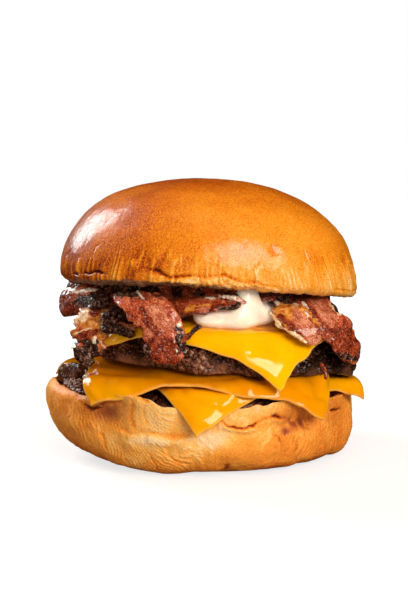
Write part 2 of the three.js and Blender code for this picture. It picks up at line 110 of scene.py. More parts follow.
def noise(p, size, seed):
    """Smooth lumps of one size, from -1 to 1: shares drawn at the corners of cubes that wide, blended
    by a smooth step in X, Y and Z."""
    q = p / size
    cell = np.floor(q)
    f = q - cell
    w = f * f * f * (f * (6 * f - 15) + 10)
    cell = cell.astype(np.int64)
    total = 0.0
    for dx in (0, 1):
        for dy in (0, 1):
            for dz in (0, 1):
                weight = (
                    (w[..., 0] if dx else 1 - w[..., 0])
                    * (w[..., 1] if dy else 1 - w[..., 1])
                    * (w[..., 2] if dz else 1 - w[..., 2])
                )
                corner = drawn(cell[..., 0] + dx, cell[..., 1] + dy, cell[..., 2] + dz, seed)
                total = total + weight * corner
    return 2 * total - 1


def layered(p, size, layers, seed):
    """Lumps on lumps: each layer of noise is half as wide and half as strong as the last."""
    total = 0.0
    for i in range(layers):
        total = total + noise(p, size / 2**i, seed + i) / 2**i
    return total


def grains(p, size, seed):
    """Packed grains: one centre is drawn in each cube, and a point gets its distance to the nearest
    centre and to the next one, as shares of the size, and a share drawn for that grain."""
    q = p / size
    cell = np.floor(q).astype(np.int64)
    first = np.full(p.shape[:-1], 9.0)
    second = first.copy()
    kind = np.zeros(p.shape[:-1])
    for dx in (-1, 0, 1):
        for dy in (-1, 0, 1):
            for dz in (-1, 0, 1):
                ix, iy, iz = cell[..., 0] + dx, cell[..., 1] + dy, cell[..., 2] + dz
                ex = ix + drawn(ix, iy, iz, seed) - q[..., 0]
                ey = iy + drawn(ix, iy, iz, seed + 1) - q[..., 1]
                ez = iz + drawn(ix, iy, iz, seed + 2) - q[..., 2]
                d = np.sqrt(ex * ex + ey * ey + ez * ez)
                nearer = d < first
                second = np.where(nearer, first, np.minimum(second, d))
                kind = np.where(nearer, drawn(ix, iy, iz, seed + 3), kind)
                first = np.where(nearer, d, first)
    return first, second, kind


def xyz(x, y, z):
    """Three arrays as one array of points."""
    return np.stack(np.broadcast_arrays(x, y, z), -1).astype(float)


def on_line(x):
    """Points on a straight line, for noise that is the same all the way across it."""
    return xyz(x, 0 * x, 0 * x)


def traced(turn, height, radius, stops):
    """How far each point of a round wall is from a line drawn on it, in millimetres, and how far above
    it. Stops are directions in degrees with heights, joined by straight stretches; the nearest stretch
    counts. Also 1 along the line, fading to 0 at its ends."""
    flat = np.stack([np.radians(turn) * radius, height], -1)
    at = np.array([(math.radians(a) * radius, z) for a, z in stops])
    best, above, done = np.full(turn.shape, 1e3), np.zeros(turn.shape), np.zeros(turn.shape)
    gone = 0.0
    total = np.linalg.norm(np.diff(at, axis=0), axis=1).sum()
    for a, b in zip(at[:-1], at[1:]):
        step_to = b - a
        length = math.hypot(*step_to)
        share = clamp01(((flat - a) @ step_to) / length**2)
        off = flat - a - share[..., None] * step_to
        d = np.hypot(off[..., 0], off[..., 1])
        side = (step_to[0] * off[..., 1] - step_to[1] * off[..., 0]) / length
        nearer = d < best
        above = np.where(nearer, side, above)
        done = np.where(nearer, (gone + share * length) / total, done)
        best = np.where(nearer, d, best)
        gone += length
    return best, above, clamp01(6 * from_ends(done) + 0.15)


def creased(turn, height, radius, lines):
    """Relief of creases drawn on a round wall, and their darkness, which is painted shade in the clefts.
    Each line has its depth and width, and how far the wall swells just below it."""
    relief, dark = 0.0, 0.0
    wall = xyz(np.radians(turn) * radius, height, 0 * height)
    wander = 0.45 * noise(wall, 3.5, 81) + 0.2 * noise(wall, 1.3, 82)
    alive = 0.4 + 0.6 * step(-0.3, 0.25, noise(wall, 4.5, 83))
    for stops, deep, wide, swell in lines:
        d, above, there = traced(turn, height + wander, radius, stops)
        there = there * alive
        cleft = bell(d, wide) * there
        below = bell(d, 6 * wide) * step(0.0, -wide, above) * bell(above + 3 * wide, 3.5 * wide) * there
        relief = relief - deep * cleft + swell * below
        # Painted shade: each cleft is darkened as deep as it is cut, up to 1.
        dark = dark + cleft * min(1.0, max(0.0, deep))
    return relief, clamp01(dark)


# ---- Materials -------------------------------------------------------------------------------------

# Inputs of a Mix node on colours: the share, and the colours that it goes from and to.
SHARE, FROM, TO = 0, 6, 7


def colour(code):
    """An sRGB hex value as linear red, green, blue and 1."""
    parts = [int(code[i : i + 2], 16) / 255 for i in (1, 3, 5)]
    return tuple(c / 12.92 if c <= 0.04045 else ((c + 0.055) / 1.055) ** 2.4 for c in parts) + (1,)


def plug(tree, socket, value):
    """Joins another node's output to a socket, or gives the socket a value of its own."""
    if isinstance(value, bpy.types.NodeSocket):
        tree.links.new(value, socket)
    else:
        socket.default_value = value


def node(tree, kind, inputs=None, output=None, stops=(), **settings):
    """Adds a node, sets its fields and the stops of its colour ramp, and plugs a value or another
    node's output into each input, by number or name. Gives the output that is named, or else the
    first one that the node has in use."""
    made = tree.nodes.new("ShaderNode" + kind)
    for key, value in settings.items():
        setattr(made, key, value)
    for key, value in (inputs or {}).items():
        plug(tree, made.inputs[key], value)
    if stops:
        elements = made.color_ramp.elements
        while len(elements) < len(stops):
            elements.new(0.5)
        for element, (place, code) in zip(elements, stops):
            element.position = place
            element.color = colour(code)
    return made.outputs[output] if output else next(each for each in made.outputs if each.enabled)


def start_material(name, **fixed):
    """A material with one Principled surface; fixed are its sockets that are the same all over."""
    made = bpy.data.materials.new(name)
    made.use_nodes = True
    tree = made.node_tree
    surface = tree.nodes["Principled BSDF"]
    for key, value in fixed.items():
        surface.inputs[key.replace("_", " ")].default_value = value
    return made, tree, surface


def speckle(tree, size_mm, detail=3.0, rough=0.55):
    """Noise on the piece's own coordinates, whose lumps are about size_mm wide."""
    where = node(tree, "TexCoord", output="Object")
    inputs = {"Vector": where, "Scale": 1 / (size_mm * MM), "Detail": detail, "Roughness": rough}
    return node(tree, "TexNoise", inputs, "Fac")


def varied(tree, name, size_mm, strength, detail=3.0):
    """One of the piece's own shares, with noise of a given size and strength added."""
    share = node(tree, "Attribute", output="Fac", attribute_name=name)
    grain = node(tree, "Math", {0: speckle(tree, size_mm, detail), 1: 0.5}, operation="SUBTRACT")
    return node(tree, "Math", {0: grain, 1: strength, 2: share}, operation="MULTIPLY_ADD")


def patched(tree, base, name, other):
    """A base colour, turned to another where one of the piece's own shares says so."""
    share = node(tree, "Attribute", output="Fac", attribute_name=name)
    return node(tree, "Mix", {SHARE: share, FROM: base, TO: other}, data_type="RGBA")


def painted_glints(tree, base, size_mm, code):
    """A base colour with small pale specks scattered over it: painted glints that stand in for the
    shine of wet fat.
    """
    edge = [(0.64, "#000000"), (0.73, "#a0a0a0")]
    glint_specks = node(tree, "ValToRGB", {"Fac": speckle(tree, size_mm, 1)}, stops=edge)
    return node(tree, "Mix", {SHARE: glint_specks, FROM: base, TO: colour(code)}, data_type="RGBA")


def patchy_gloss(tree, surface, size_mm, smooth, rough):
    """Makes the surface smoother and rougher in patches; the greys stand for how rough."""
    stops = [(0.35, smooth), (0.65, rough)]
    patches = node(tree, "ValToRGB", {"Fac": speckle(tree, size_mm, 3)}, stops=stops)
    plug(tree, surface.inputs["Roughness"], patches)


def pitted(tree, surface, *layers):
    """Bump in layers, one on another: each has the size of its lumps, their detail and their depth, in
    millimetres."""
    under = {}
    for size_mm, detail, depth_mm in layers:
        inputs = {"Height": speckle(tree, size_mm, detail), "Strength": 1.0, "Distance": depth_mm * MM}
        under = {"Normal": node(tree, "Bump", {**inputs, **under})}
    plug(tree, surface.inputs["Normal"], under["Normal"])


def crown_crust():
    """Egg-washed brioche crust, baked: satin gloss over a sandy skin, golden orange, red brown on top,
    partly from baking and partly as painted shade, with painted shade at the left and in the creases and
    painted highlights on the pleats, paler near the lower edge, with a grey-brown crumb underneath that
    is darkened partly as painted shade. The tinted coat is the egg wash."""
    made, tree, surface = start_material(
        "egg_washed_brioche_crust",
        IOR=1.4, Specular_IOR_Level=0.08, Subsurface_Weight=0.05, Subsurface_Scale=0.003,
        Coat_Weight=0.78, Coat_Roughness=0.28, Coat_IOR=1.5, Coat_Tint=(1.0, 0.9, 0.8, 1.0),
    )
    crust = node(tree, "ValToRGB", {"Fac": varied(tree, "browning_and_painted_light", 0.45, 0.95, 2.0)}, stops=[
        (0.0, "#fbe3ae"), (0.2, "#f8bc62"), (0.42, "#f6a526"),
        (0.62, "#e88410"), (0.82, "#b54e0a"), (1.0, "#5e2106"),
    ])
    # Toasted crumb, painted darker partly as shade.
    crumb = [(0.35, "#5c3a2c"), (0.65, "#a5795a")]
    crumb = node(tree, "ValToRGB", {"Fac": speckle(tree, 1.0)}, stops=crumb)
    plug(tree, surface.inputs["Base Color"], patched(tree, crust, "crumb", crumb))
    dull = node(tree, "Attribute", output="Fac", attribute_name="dull")
    rough = node(tree, "Math", {0: dull, 1: 0.25, 2: 0.42}, operation="MULTIPLY_ADD")
    plug(tree, surface.inputs["Roughness"], rough)
    pitted(tree, surface, (0.45, 2, 0.45), (1.2, 3, 0.3))
    return made


def heel_crust():
    """Brioche crust from the underside of the loaf: satin, pale gold, browner towards the base, darker
    at both ends and in the creases with painted shade, lighter in patches and on the wrinkles with
    painted highlights, and pink brown where it is pressed in, partly juice stain and partly painted
    shade."""
    made, tree, surface = start_material(
        "pale_brioche_crust",
        IOR=1.4, Specular_IOR_Level=0.2, Subsurface_Weight=0.08, Subsurface_Scale=0.003,
        Coat_Weight=0.3, Coat_Roughness=0.35, Coat_IOR=1.4, Roughness=0.55,
    )
    crust = node(tree, "ValToRGB", {"Fac": varied(tree, "browning_and_painted_light", 0.6, 0.6)}, stops=[
        (0.0, "#ffd8a6"), (0.2, "#ffc268"), (0.42, "#ffa43c"),
        (0.65, "#e47e26"), (0.85, "#a04812"), (1.0, "#54220a"),
    ])
    plug(tree, surface.inputs["Base Color"], patched(tree, crust, "juice_stain_and_shade", colour("#a04e2a")))
    pitted(tree, surface, (0.5, 3, 0.35), (1.8, 3, 0.35))
    return made


def grilled_beef():
    """Coarse minced beef, grilled: dark brown grains with black between, grey pink where it is less
    seared, and wet with fat, which glints; pale specks add painted glints."""
    made, tree, surface = start_material(
        "grilled_minced_beef",
        IOR=1.4, Specular_IOR_Level=0.2, Coat_Weight=0.35, Coat_Roughness=0.16, Coat_IOR=1.42,
    )
    meat = node(tree, "ValToRGB", {"Fac": varied(tree, "tone", 0.7, 1.3)}, stops=[
        (0.0, "#0e0503"), (0.25, "#32140a"), (0.5, "#6c3822"), (0.75, "#96684c"), (1.0, "#d4b09a"),
    ])
    meat = patched(tree, meat, "rare", colour("#a06a50"))
    plug(tree, surface.inputs["Base Color"], painted_glints(tree, meat, 0.6, "#d2b09a"))
    patchy_gloss(tree, surface, 1.1, "#3c3c3c", "#b0b0b0")
    pitted(tree, surface, (0.5, 2, 0.2), (1.2, 3, 0.35))
    return made


def melted_cheese():
    """Processed cheese, melted: smooth and glossy, with light going a little way in, deep yellow, more
    orange on the two lower slices, brown near the patty and the fold, which is mostly painted shade with
    some fat stain, and pale along the cut edge, which is a painted highlight."""
    made, tree, surface = start_material(
        "melted_cheese",
        IOR=1.4, Specular_IOR_Level=0.0, Subsurface_Weight=0.12, Subsurface_Scale=0.002, Roughness=0.5,
        Coat_Weight=0.9, Coat_Roughness=0.12, Coat_IOR=1.45,
    )
    body = [(0.3, "#fdae00"), (0.55, "#ffb900"), (0.8, "#ffc400")]
    body = node(tree, "ValToRGB", {"Fac": speckle(tree, 9, 3)}, stops=body)
    # The brown is mostly painted shade; the pale is a painted highlight on the cut edge.
    for name, code in (("more_orange", "#e08b00"), ("shade_and_fat_stain", "#b45600"), ("pale", "#ffdc90")):
        body = patched(tree, body, name, colour(code))
    plug(tree, surface.inputs["Base Color"], body)
    pitted(tree, surface, (0.9, 2, 0.03), (4, 1, 0.2))
    return made


def bacon_grain(tree):
    """Grain of a rasher: fine speckle, streaks of noise drawn out along it, and coarse speckle, added
    in parts."""
    along = node(tree, "Attribute", output="Fac", attribute_name="along")
    across = node(tree, "Attribute", output="Fac", attribute_name="across")
    drawn_out = node(tree, "Math", {0: along, 1: 0.3}, operation="MULTIPLY")
    where = node(tree, "CombineXYZ", {"X": drawn_out, "Y": across})
    streaks = node(tree, "TexNoise", {"Vector": where, "Scale": 0.8, "Detail": 4.0, "Roughness": 0.6}, "Fac")
    grain = 0.0
    for source, part in ((speckle(tree, 0.34, 2), 0.45), (streaks, 0.25), (speckle(tree, 2.4, 3), 0.3)):
        grain = node(tree, "Math", {0: source, 1: part, 2: grain}, operation="MULTIPLY_ADD")
    return grain


def fried_bacon():
    """Smoked bacon, fried: pink-red lean with a fine grain and streaks along it, deep glossy red where
    it is crisp, translucent amber and cream-coloured fat, black char and smears of sauce; some of the
    char and deep red is painted shade under the crown. It glints all over with fat, and pale specks,
    in the char too, add painted glints."""
    made, tree, surface = start_material(
        "fried_bacon",
        IOR=1.4, Specular_IOR_Level=0.3, Subsurface_Weight=0.05, Subsurface_Scale=0.0015,
        Coat_Roughness=0.13, Coat_IOR=1.45,
    )
    grain = bacon_grain(tree)
    body = [(0.4, "#5e180a"), (0.47, "#a43a1e"), (0.53, "#c4542c"), (0.6, "#eea478")]
    body = node(tree, "ValToRGB", {"Fac": grain}, stops=body)
    for name, source, stops in (
        ("pink", grain, [(0.4, "#84321c"), (0.49, "#bc5e3e"), (0.57, "#e6a07c")]),
        ("deep", grain, [(0.4, "#2c0803"), (0.5, "#7c2008"), (0.6, "#bc5628")]),
        ("amber", speckle(tree, 1.2, 4), [(0.3, "#8e360c"), (0.48, "#cf761c"), (0.72, "#f4b868")]),
        ("fat", speckle(tree, 1.2, 4), [(0.3, "#c98f60"), (0.6, "#f2d4a8"), (0.8, "#fbeccf")]),
        # The palest stop of the char makes pale specks: painted glints.
        ("charred", speckle(tree, 1.3, 4, 0.75),
         [(0.42, "#120504"), (0.54, "#3c1a10"), (0.64, "#86604c"), (0.74, "#dcc4b4")]),
        ("smeared", speckle(tree, 0.8, 3, 0.7), [(0.35, "#b59a8c"), (0.5, "#ead9c4"), (0.65, "#fff6e6")]),
    ):
        share = node(tree, "Clamp", {"Value": varied(tree, name, 0.8, 1.0)})
        share = node(tree, "ValToRGB", {"Fac": share}, stops=[(0.25, "#000000"), (0.7, "#ffffff")])
        other = node(tree, "ValToRGB", {"Fac": source}, stops=stops)
        body = node(tree, "Mix", {SHARE: share, FROM: body, TO: other}, data_type="RGBA")
    plug(tree, surface.inputs["Base Color"], painted_glints(tree, body, 0.5, "#ffc8a4"))
    charred = node(tree, "Attribute", output="Fac", attribute_name="charred")
    wet = node(tree, "Math", {0: charred, 1: -0.15, 2: 0.8}, operation="MULTIPLY_ADD")
    plug(tree, surface.inputs["Coat Weight"], wet)
    patchy_gloss(tree, surface, 1.6, "#404040", "#c0c0c0")
    pitted(tree, surface, (0.36, 2, 0.34), (1.3, 2, 0.24))
    return made


def cream_sauce():
    """Mayonnaise-like sauce: thick, glossy and cream white, with light going well in, and a faint warm
    glow of its own, which is painted light that brightens its shade.
    """
    # The faint warm emission is painted light, not a lamp.
    made, tree, surface = start_material(
        "cream_sauce",
        IOR=1.46, Subsurface_Weight=0.5, Subsurface_Scale=0.004, Roughness=0.3, Coat_Weight=0.3,
        Coat_Roughness=0.15, Coat_IOR=1.4, Emission_Color=(1.0, 0.74, 0.58, 1.0), Emission_Strength=0.07,
    )
    body = [(0.3, "#ffe3cf"), (0.6, "#fff0e2")]
    body = node(tree, "ValToRGB", {"Fac": speckle(tree, 3, 2)}, stops=body)
    plug(tree, surface.inputs["Base Color"], body)
    pitted(tree, surface, (2, 2, 0.1))
    return made


# ---- Making pieces ---------------------------------------------------------------------------------


def make_piece(name, points, quads, finish, slot, stands_for=(), shades=None, tris=None):
    """Puts points in millimetres and faces into a smooth mesh that rides on the burger. Faces are
    turned over if the volume they close comes out negative. shades are the piece's own shares."""
    quads = np.asarray(quads, np.int64).reshape(-1, 4)
    tris = np.zeros((0, 3), np.int64) if tris is None else np.asarray(tris, np.int64)
    corners = np.concatenate([quads[:, :3], quads[:, [0, 2, 3]], tris])
    a, b, c = (points[corners[:, i]] for i in range(3))
    if np.einsum("ij,ij->i", a, np.cross(b, c)).sum() < 0:
        quads, tris = quads[:, ::-1], tris[:, ::-1]
    mesh = bpy.data.meshes.new(name)
    mesh.vertices.add(len(points))
    mesh.vertices.foreach_set("co", (points * MM).astype(np.float32).ravel())
    loops = np.concatenate([quads.ravel(), tris.ravel()])
    mesh.loops.add(len(loops))
    mesh.loops.foreach_set("vertex_index", loops.astype(np.int32))
    starts = np.concatenate([np.arange(len(quads)) * 4, len(quads) * 4 + np.arange(len(tris)) * 3])
    mesh.polygons.add(len(starts))
    mesh.polygons.foreach_set("loop_start", starts.astype(np.int32))
    mesh.update(calc_edges=True)
    mesh.polygons.foreach_set("use_smooth", np.ones(len(starts), bool))
    for key, share in (shades or {}).items():
        layer = mesh.attributes.new(key, "FLOAT", "POINT")
        layer.data.foreach_set("value", np.asarray(share, np.float32).ravel())
    mesh.materials.append(finish)
    made = bpy.data.objects.new(name, mesh)
    bpy.context.scene.collection.objects.link(made)
    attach(made, "root")
    if stands_for:
        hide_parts(*stands_for)


def facing(grid, wrapped):
    """Unit normals of a grid of points, from the cross product of its steps along rows and columns.
    wrapped grids join their last column to their first."""
    along = np.gradient(grid, axis=0)
    if wrapped:
        across = np.roll(grid, -1, 1) - np.roll(grid, 1, 1)
    else:
        across = np.gradient(grid, axis=1)
    normal = np.cross(across, along)
    return normal / np.maximum(np.linalg.norm(normal, axis=-1, keepdims=True), 1e-9)


def round_grid(rows, columns):
    """Shares down a closed skin and directions round it, as two grids."""
    return np.meshgrid(rows, np.linspace(-math.pi, math.pi, columns, endpoint=False), indexing="ij")


def pushed_out(grid, relief):
    """A closed skin moved out of itself along its normals, which stand upright at its two poles."""
    normal = facing(grid, True)
    normal[0] = (0, 0, 1)
    normal[-1] = (0, 0, -1)
    outward = np.sign((normal * (grid - grid.mean((0, 1)))).sum(-1).mean())
    return grid + normal * outward * relief[..., None]


def close_poles(grid):
    """Draws the first and the last row of a closed skin together to one point each."""
    grid[0] = grid[0].mean(0)
    grid[-1] = grid[-1].mean(0)


def skin(name, grid, finish, slot, stands_for=(), shades=None):
    """A closed skin: rows run round the piece, and the first and last row each shrink to one pole."""
    rows, columns = grid.shape[:2]
    points = np.concatenate([grid[0, :1], grid[1:-1].reshape(-1, 3), grid[-1, :1]])
    at = 1 + np.arange((rows - 2) * columns).reshape(rows - 2, columns)
    nxt = np.roll(at, -1, 1)
    quads = np.stack([at[:-1], nxt[:-1], nxt[1:], at[1:]], -1).reshape(-1, 4)
    last = len(points) - 1
    top = np.stack([np.zeros_like(at[0]), nxt[0], at[0]], -1)
    bottom = np.stack([np.full_like(at[0], last), at[-1], nxt[-1]], -1)
    flat = {
        key: np.concatenate([share[0, :1], share[1:-1].ravel(), share[-1, :1]])
        for key, share in (shades or {}).items()
    }
    make_piece(name, points, quads, finish, slot, stands_for, flat, np.concatenate([top, bottom]))


def thick_sheet(name, middle, half, finish, slot, stands_for=(), shades=None):
    """A thin piece: each point of the middle grid goes out to both faces by half its thickness along
    the normal. Both faces share the edge of the grid, where half is 0, so the edge is round."""
    rows, columns = middle.shape[:2]
    normal = facing(middle, False)
    front = middle + normal * half[..., None]
    rear = (middle - normal * half[..., None])[1:-1, 1:-1]
    points = np.concatenate([front.reshape(-1, 3), rear.reshape(-1, 3)])
    at = np.arange(rows * columns).reshape(rows, columns)
    back = at.copy()
    inner = np.arange((rows - 2) * (columns - 2)).reshape(rows - 2, columns - 2)
    back[1:-1, 1:-1] = rows * columns + inner
    quads = [
        np.stack([at[:-1, :-1], at[1:, :-1], at[1:, 1:], at[:-1, 1:]], -1).reshape(-1, 4),
        np.stack([back[:-1, :-1], back[:-1, 1:], back[1:, 1:], back[1:, :-1]], -1).reshape(-1, 4),
    ]
    flat = {
        key: np.concatenate([share.ravel(), share[1:-1, 1:-1].ravel()])
        for key, share in (shades or {}).items()
    }
    make_piece(name, points, np.concatenate(quads), finish, slot, stands_for, flat)


def edge_places(length, thick, inner):
    """Places from 0 to 1 along a side of a sheet: close together where the edge is rounded, over half
    its thickness, and evenly spaced by about inner millimetres between."""
    curve = thick / 2 / length
    near = curve * (1 - np.cos(np.linspace(0, math.pi / 2, 6)))
    count = max(2, round((1 - 2 * curve) * length / inner))
    middle = np.linspace(curve, 1 - curve, count + 1)
    return np.concatenate([near[:-1], middle, 1 - near[-2::-1]])


def rounded(distance, thick):
    """Half the thickness of a sheet at a distance from its edge: a quarter circle, then flat."""
    radius = thick / 2
    share = clamp01(distance / radius)
    return radius * np.sqrt(1 - (1 - share) ** 2)


# ---- Bun -------------------------------------------------------------------------------------------

BUN_COLUMNS = 900

CROWN = dict(
    x=3.0, half_width=49.8, half_depth=49.2, base_z=56.5, lean_x=0.04, lean_y=0.049, height=36.2,
    square_left=2.12, square_right=2.36, peak_shift=-3.8, lip=3.2, hollow=1.2, droop=1.6, flare=1.0,
)
# Shares of the crown's rows where its dome and its rounded lip end, with a tenth of the rows in the lip
# and a tenth in the underside, and where the skin is torn off.
DOME, LIP, TENTH, TORN = 0.8, 0.9, 0.1, 0.885
# Creases of the crown: stops as directions in degrees from +X, with heights above its lower edge in
# millimetres, then depth, width and swell.
CROWN_LINES = [
    ([(-116.2, 7.9), (-114.7, 6.9), (-111.7, 6.5), (-108.9, 5.7), (-106.3, 4.8), (-104.4, 4.2),
      (-102.1, 4.6), (-91.2, 4.7), (-84.3, 5.2), (-81.6, 4.3), (-78.5, 3.3), (-74.6, 3.7), (-71.4, 3.0),
      (-65.5, 2.0)], 0.9, 0.5, 0.5),
    ([(-153.2, 2.6), (-145.1, 3.3), (-136.5, 4.8), (-132.6, 4.1), (-129.4, 3.4)], 0.9, 0.4, 0.2),
    ([(-162.7, 5.7), (-160.8, 8.5), (-155.1, 11.2)], 0.15, 0.5, 0),
    ([(-137.7, 6.8), (-139.5, 8.9), (-138.1, 12.4), (-135.9, 13.7)], 0.15, 0.5, 0),
    ([(-66.0, 15.4), (-64.3, 13.5), (-63.8, 12.0)], 0.25, 1.6, 0),
    ([(-124.5, 11.6), (-123.7, 8.8), (-123.3, 6.4)], -0.3, 0.4, 0),
    ([(-120.2, 10.9), (-118.8, 7.6), (-118.0, 5.7)], -0.3, 0.4, 0),
    ([(-108.9, 11.9), (-109.0, 10.4), (-108.1, 9.5), (-106.7, 6.8)], -0.35, 0.4, 0),
    ([(30, 4.2), (52, 5.4), (75, 4.0), (96, 4.8)], 1.2, 0.45, 0.7),
    ([(120, 3.2), (138, 4.4), (160, 3.0)], 0.9, 0.45, 0.5),
    ([(-38, 2.4), (-12, 2.0), (8, 2.8)], 0.5, 0.4, 0.3),
]
# Directions on the crown, each with a height above its lower edge in millimetres: how far up the
# pleats reach, the top of the torn lip, how far the edge gapes and how far the underside curls up.
PLEAT_REACH = [
    (-180, 9), (-140, 9), (-118, 13), (-100, 12), (-80, 10), (-60, 12), (-40, 15), (-15, 15), (60, 11),
    (180, 9),
]
TORN_LIP = [
    (-157, 2.2), (-145, 3.3), (-133, 4.4), (-128, 2), (-119, 2), (-116, 5.6), (-104, 4.2), (-92, 4.7),
    (-84, 5.2), (-78, 3.4), (-66, 2.0), (-55, 1.2),
]
GAPE = [
    (-165, 0), (-150, 0.2), (-137, 0.4), (-122, 0.6), (-115, 0.9), (-106, 1.6), (-97, 1.5), (-88, 1.3),
    (-80, 1.0), (-70, 0.7), (-58, 0.4), (-40, 0),
]
CURLED_UP = [
    (-168, 0), (-155, 0.9), (-137, 1.7), (-122, 2.5), (-113, 2.2), (-105, 0.9), (-96, 0.3), (-60, 0.1),
    (-50, 0),
]

HEEL = dict(
    x=-0.3, half_width=52.1, half_depth=50, rest_radius=30, widest_z=20.5, rim_z=23.6, rim_rise=3.7,
    pressed=2.3, dish_z=20.6, rim_width=9, rim_square=3, groove=0.9, square_left=1.9, square_right=5.6,
)
# Shares of the heel's rows where its dish, its rounded rim and its side end.
DISH, RIM, SIDE = 0.25, 0.5, 0.88
# The row at which the rim laps up, and the rows that stay under the patty.
LAP_ROW, UNDER_PATTY = 0.475, 0.44
# Creases of the heel, in the same way, with heights above the floor.
HEEL_LINES = [
    ([(-137.0, 22.7), (-132.3, 20.6), (-127.9, 21.5), (-122.9, 22.0), (-118.7, 20.6), (-115.7, 19.9)],
     1.4, 0.5, 0.6),
    ([(-115.7, 22.8), (-111.9, 22.3), (-107.8, 21.4), (-105.7, 21.9)], 0.6, 0.4, 0.3),
    ([(-111.6, 20.9), (-114.4, 18.2), (-113.0, 15.8)], 0.4, 0.8, 0.2),
    ([(-108.0, 20.7), (-109.1, 18.5), (-107.1, 16.5)], 0.2, 0.5, 0.1),
    ([(-120.1, 15.7), (-115.0, 14.8), (-111.2, 14.8), (-104.0, 14.4), (-98.7, 14.4), (-92.3, 15.5)],
     0.35, 0.9, 1.1),
    ([(-109.0, 9.5), (-107.4, 6.4), (-105.8, 4.0), (-106.6, 1.8)], 0.25, 0.4, 0.1),
    ([(-102.5, 11.2), (-100.3, 7.7), (-96.4, 5.5), (-91.7, 4.0)], 0.3, 0.4, 0.1),
    ([(-105.5, 12.4), (-103.0, 9.0), (-99.2, 6.8)], 0.25, 0.4, 0.1),
    ([(-127.5, 14.0), (-126.4, 10.8), (-126.8, 7.1)], 0.3, 0.7, 0.1),
    ([(-82.8, 19.0), (-78.9, 17.5), (-73.2, 16.7), (-70.5, 16.9), (-68.1, 17.7), (-64.4, 18.4),
      (-60.4, 18.6), (-55.0, 17.9), (-52.7, 16.8)], 1.0, 0.3, 0.9),
    ([(-62.5, 14.8), (-59.5, 12.8), (-57.8, 10.6)], 0.3, 0.5, 0.2),
    ([(-56.8, 14.8), (-55.8, 14.2)], 1.0, 0.9, 0),
    ([(-53.5, 12.4), (-50.8, 8.6), (-52.3, 5.6)], 0.3, 0.6, 0.1),
    ([(-32.7, 18.1), (-20.9, 16.7)], 0.7, 0.4, 0.3),
    ([(-36.5, 9.1), (-32.7, 4.8), (-31.6, 1.3)], 0.25, 0.6, 0.1),
    ([(-79.1, 4.2), (-77.6, 1.0)], 0.5, 1.2, 0),
    ([(10, 15.0), (24, 17.2), (40, 15.4), (58, 16.8)], 0.7, 0.5, 0.6),
    ([(70, 12.0), (84, 14.5), (98, 13.0)], 0.5, 0.6, 0.5),
    ([(112, 18.0), (126, 16.5), (144, 18.0)], 0.7, 0.5, 0.6),
    ([(150, 10.0), (158, 13.5), (170, 12.0)], 0.5, 0.7, 0.4),
    ([(88, 7.0), (94, 4.0), (92, 1.5)], 0.3, 0.6, 0.2),
    ([(30, 9.0), (36, 5.0), (34, 2.0)], 0.3, 0.6, 0.2),
]
# How far the heel's rim laps up round the patty, in each direction.
LAPPED = [
    (-180, 0.2), (-132, 0.3), (-126, 1.2), (-119, 4.4), (-113, 5.8), (-109, 4.8), (-103, 2.0),
    (-94, 1.0), (-84, 1.6), (-74, 1.6), (-66, 2.6), (-58, 3.2), (-50, 2.6), (-30, 0.8), (20, 0.4),
    (180, 0.3),
]
# Painted highlights on the heel, as paler patches: direction and height, how wide in degrees and high,
# and how pale.
HEEL_HIGHLIGHT_PATCHES = [
    (-84, 13.5, 6, 3.0, 0.6), (-108, 13.0, 9, 1.8, 0.42), (-104, 17.5, 8, 3, 0.16),
    (-120, 11.5, 9, 2.5, 0.2), (-66, 14.5, 6, 2, 0.2), (-76, 3.0, 6, 2, 0.25), (-114, 5.5, 4, 2, 0.25),
    (-70, 20.5, 8, 1.2, 0.2),
]


def sideways(angle, left, right):
    """A value that goes from its left-hand to its right-hand amount round the bun."""
    return mix(left, right, 0.5 + 0.5 * np.cos(angle))


def by_direction(turn, stops):
    """A value that goes straight from stop to stop round the bun."""
    return np.interp(turn, *zip(*stops))


def oval(outline, angle, form):
    """Radius of an ellipse with the form's half width and half depth, times its outline."""
    reach = outline * form["half_width"] * form["half_depth"]
    return reach / np.hypot(form["half_depth"] * np.cos(angle), form["half_width"] * np.sin(angle))


def crown_base(x, y):
    """Height of the plane that the crown stands on: it leans right, droops at the right-hand edge and
    rises to the front."""
    edge = np.maximum(0, x - CROWN["x"]) / CROWN["half_width"]
    lean = CROWN["lean_x"] * (x - CROWN["x"]) + CROWN["lean_y"] * y
    return CROWN["base_z"] - lean - CROWN["droop"] * edge**3


def crown_form(v, angle):
    """The crown's plain form. A superellipse dome from the peak to the widest ring, a quarter circle
    under it to the lower edge, then a slightly hollow underside. Also how far above its plane."""
    c = CROWN
    outer = oval(1 + 0.006 * np.cos(2 * angle + 0.8) + 0.006 * np.cos(5 * angle + 2), angle, c)
    square = sideways(angle, c["square_left"], c["square_right"])
    t = clamp01(v / DOME) * math.pi / 2
    r_dome = outer * power(np.sin(t), 2 / square)
    up_dome = c["lip"] + (c["height"] - c["lip"]) * power(np.cos(t), 2 / square)
    t = clamp01((v - DOME) / TENTH) * math.pi / 2
    r_lip = outer - c["lip"] * (1 - np.cos(t))
    up_lip = c["lip"] * (1 - np.sin(t))
    t = clamp01((v - LIP) / TENTH)
    r_under = (outer - c["lip"]) * (1 - t)
    up_under = c["hollow"] * power(np.sin(t * math.pi / 2), 0.5)
    r = np.select([v < DOME, v < LIP], [r_dome, r_lip], r_under)
    up = np.select([v < DOME, v < LIP], [up_dome, up_lip], up_under)
    flare = c["flare"] * np.maximum(0, np.cos(angle)) * clamp01(1 - up / 12)
    x = c["x"] + (r + flare) * np.cos(angle) + c["peak_shift"] * clamp01((up - 20) / 40)
    y = r * np.sin(angle)
    return xyz(x, y, crown_base(x, y) + up), up


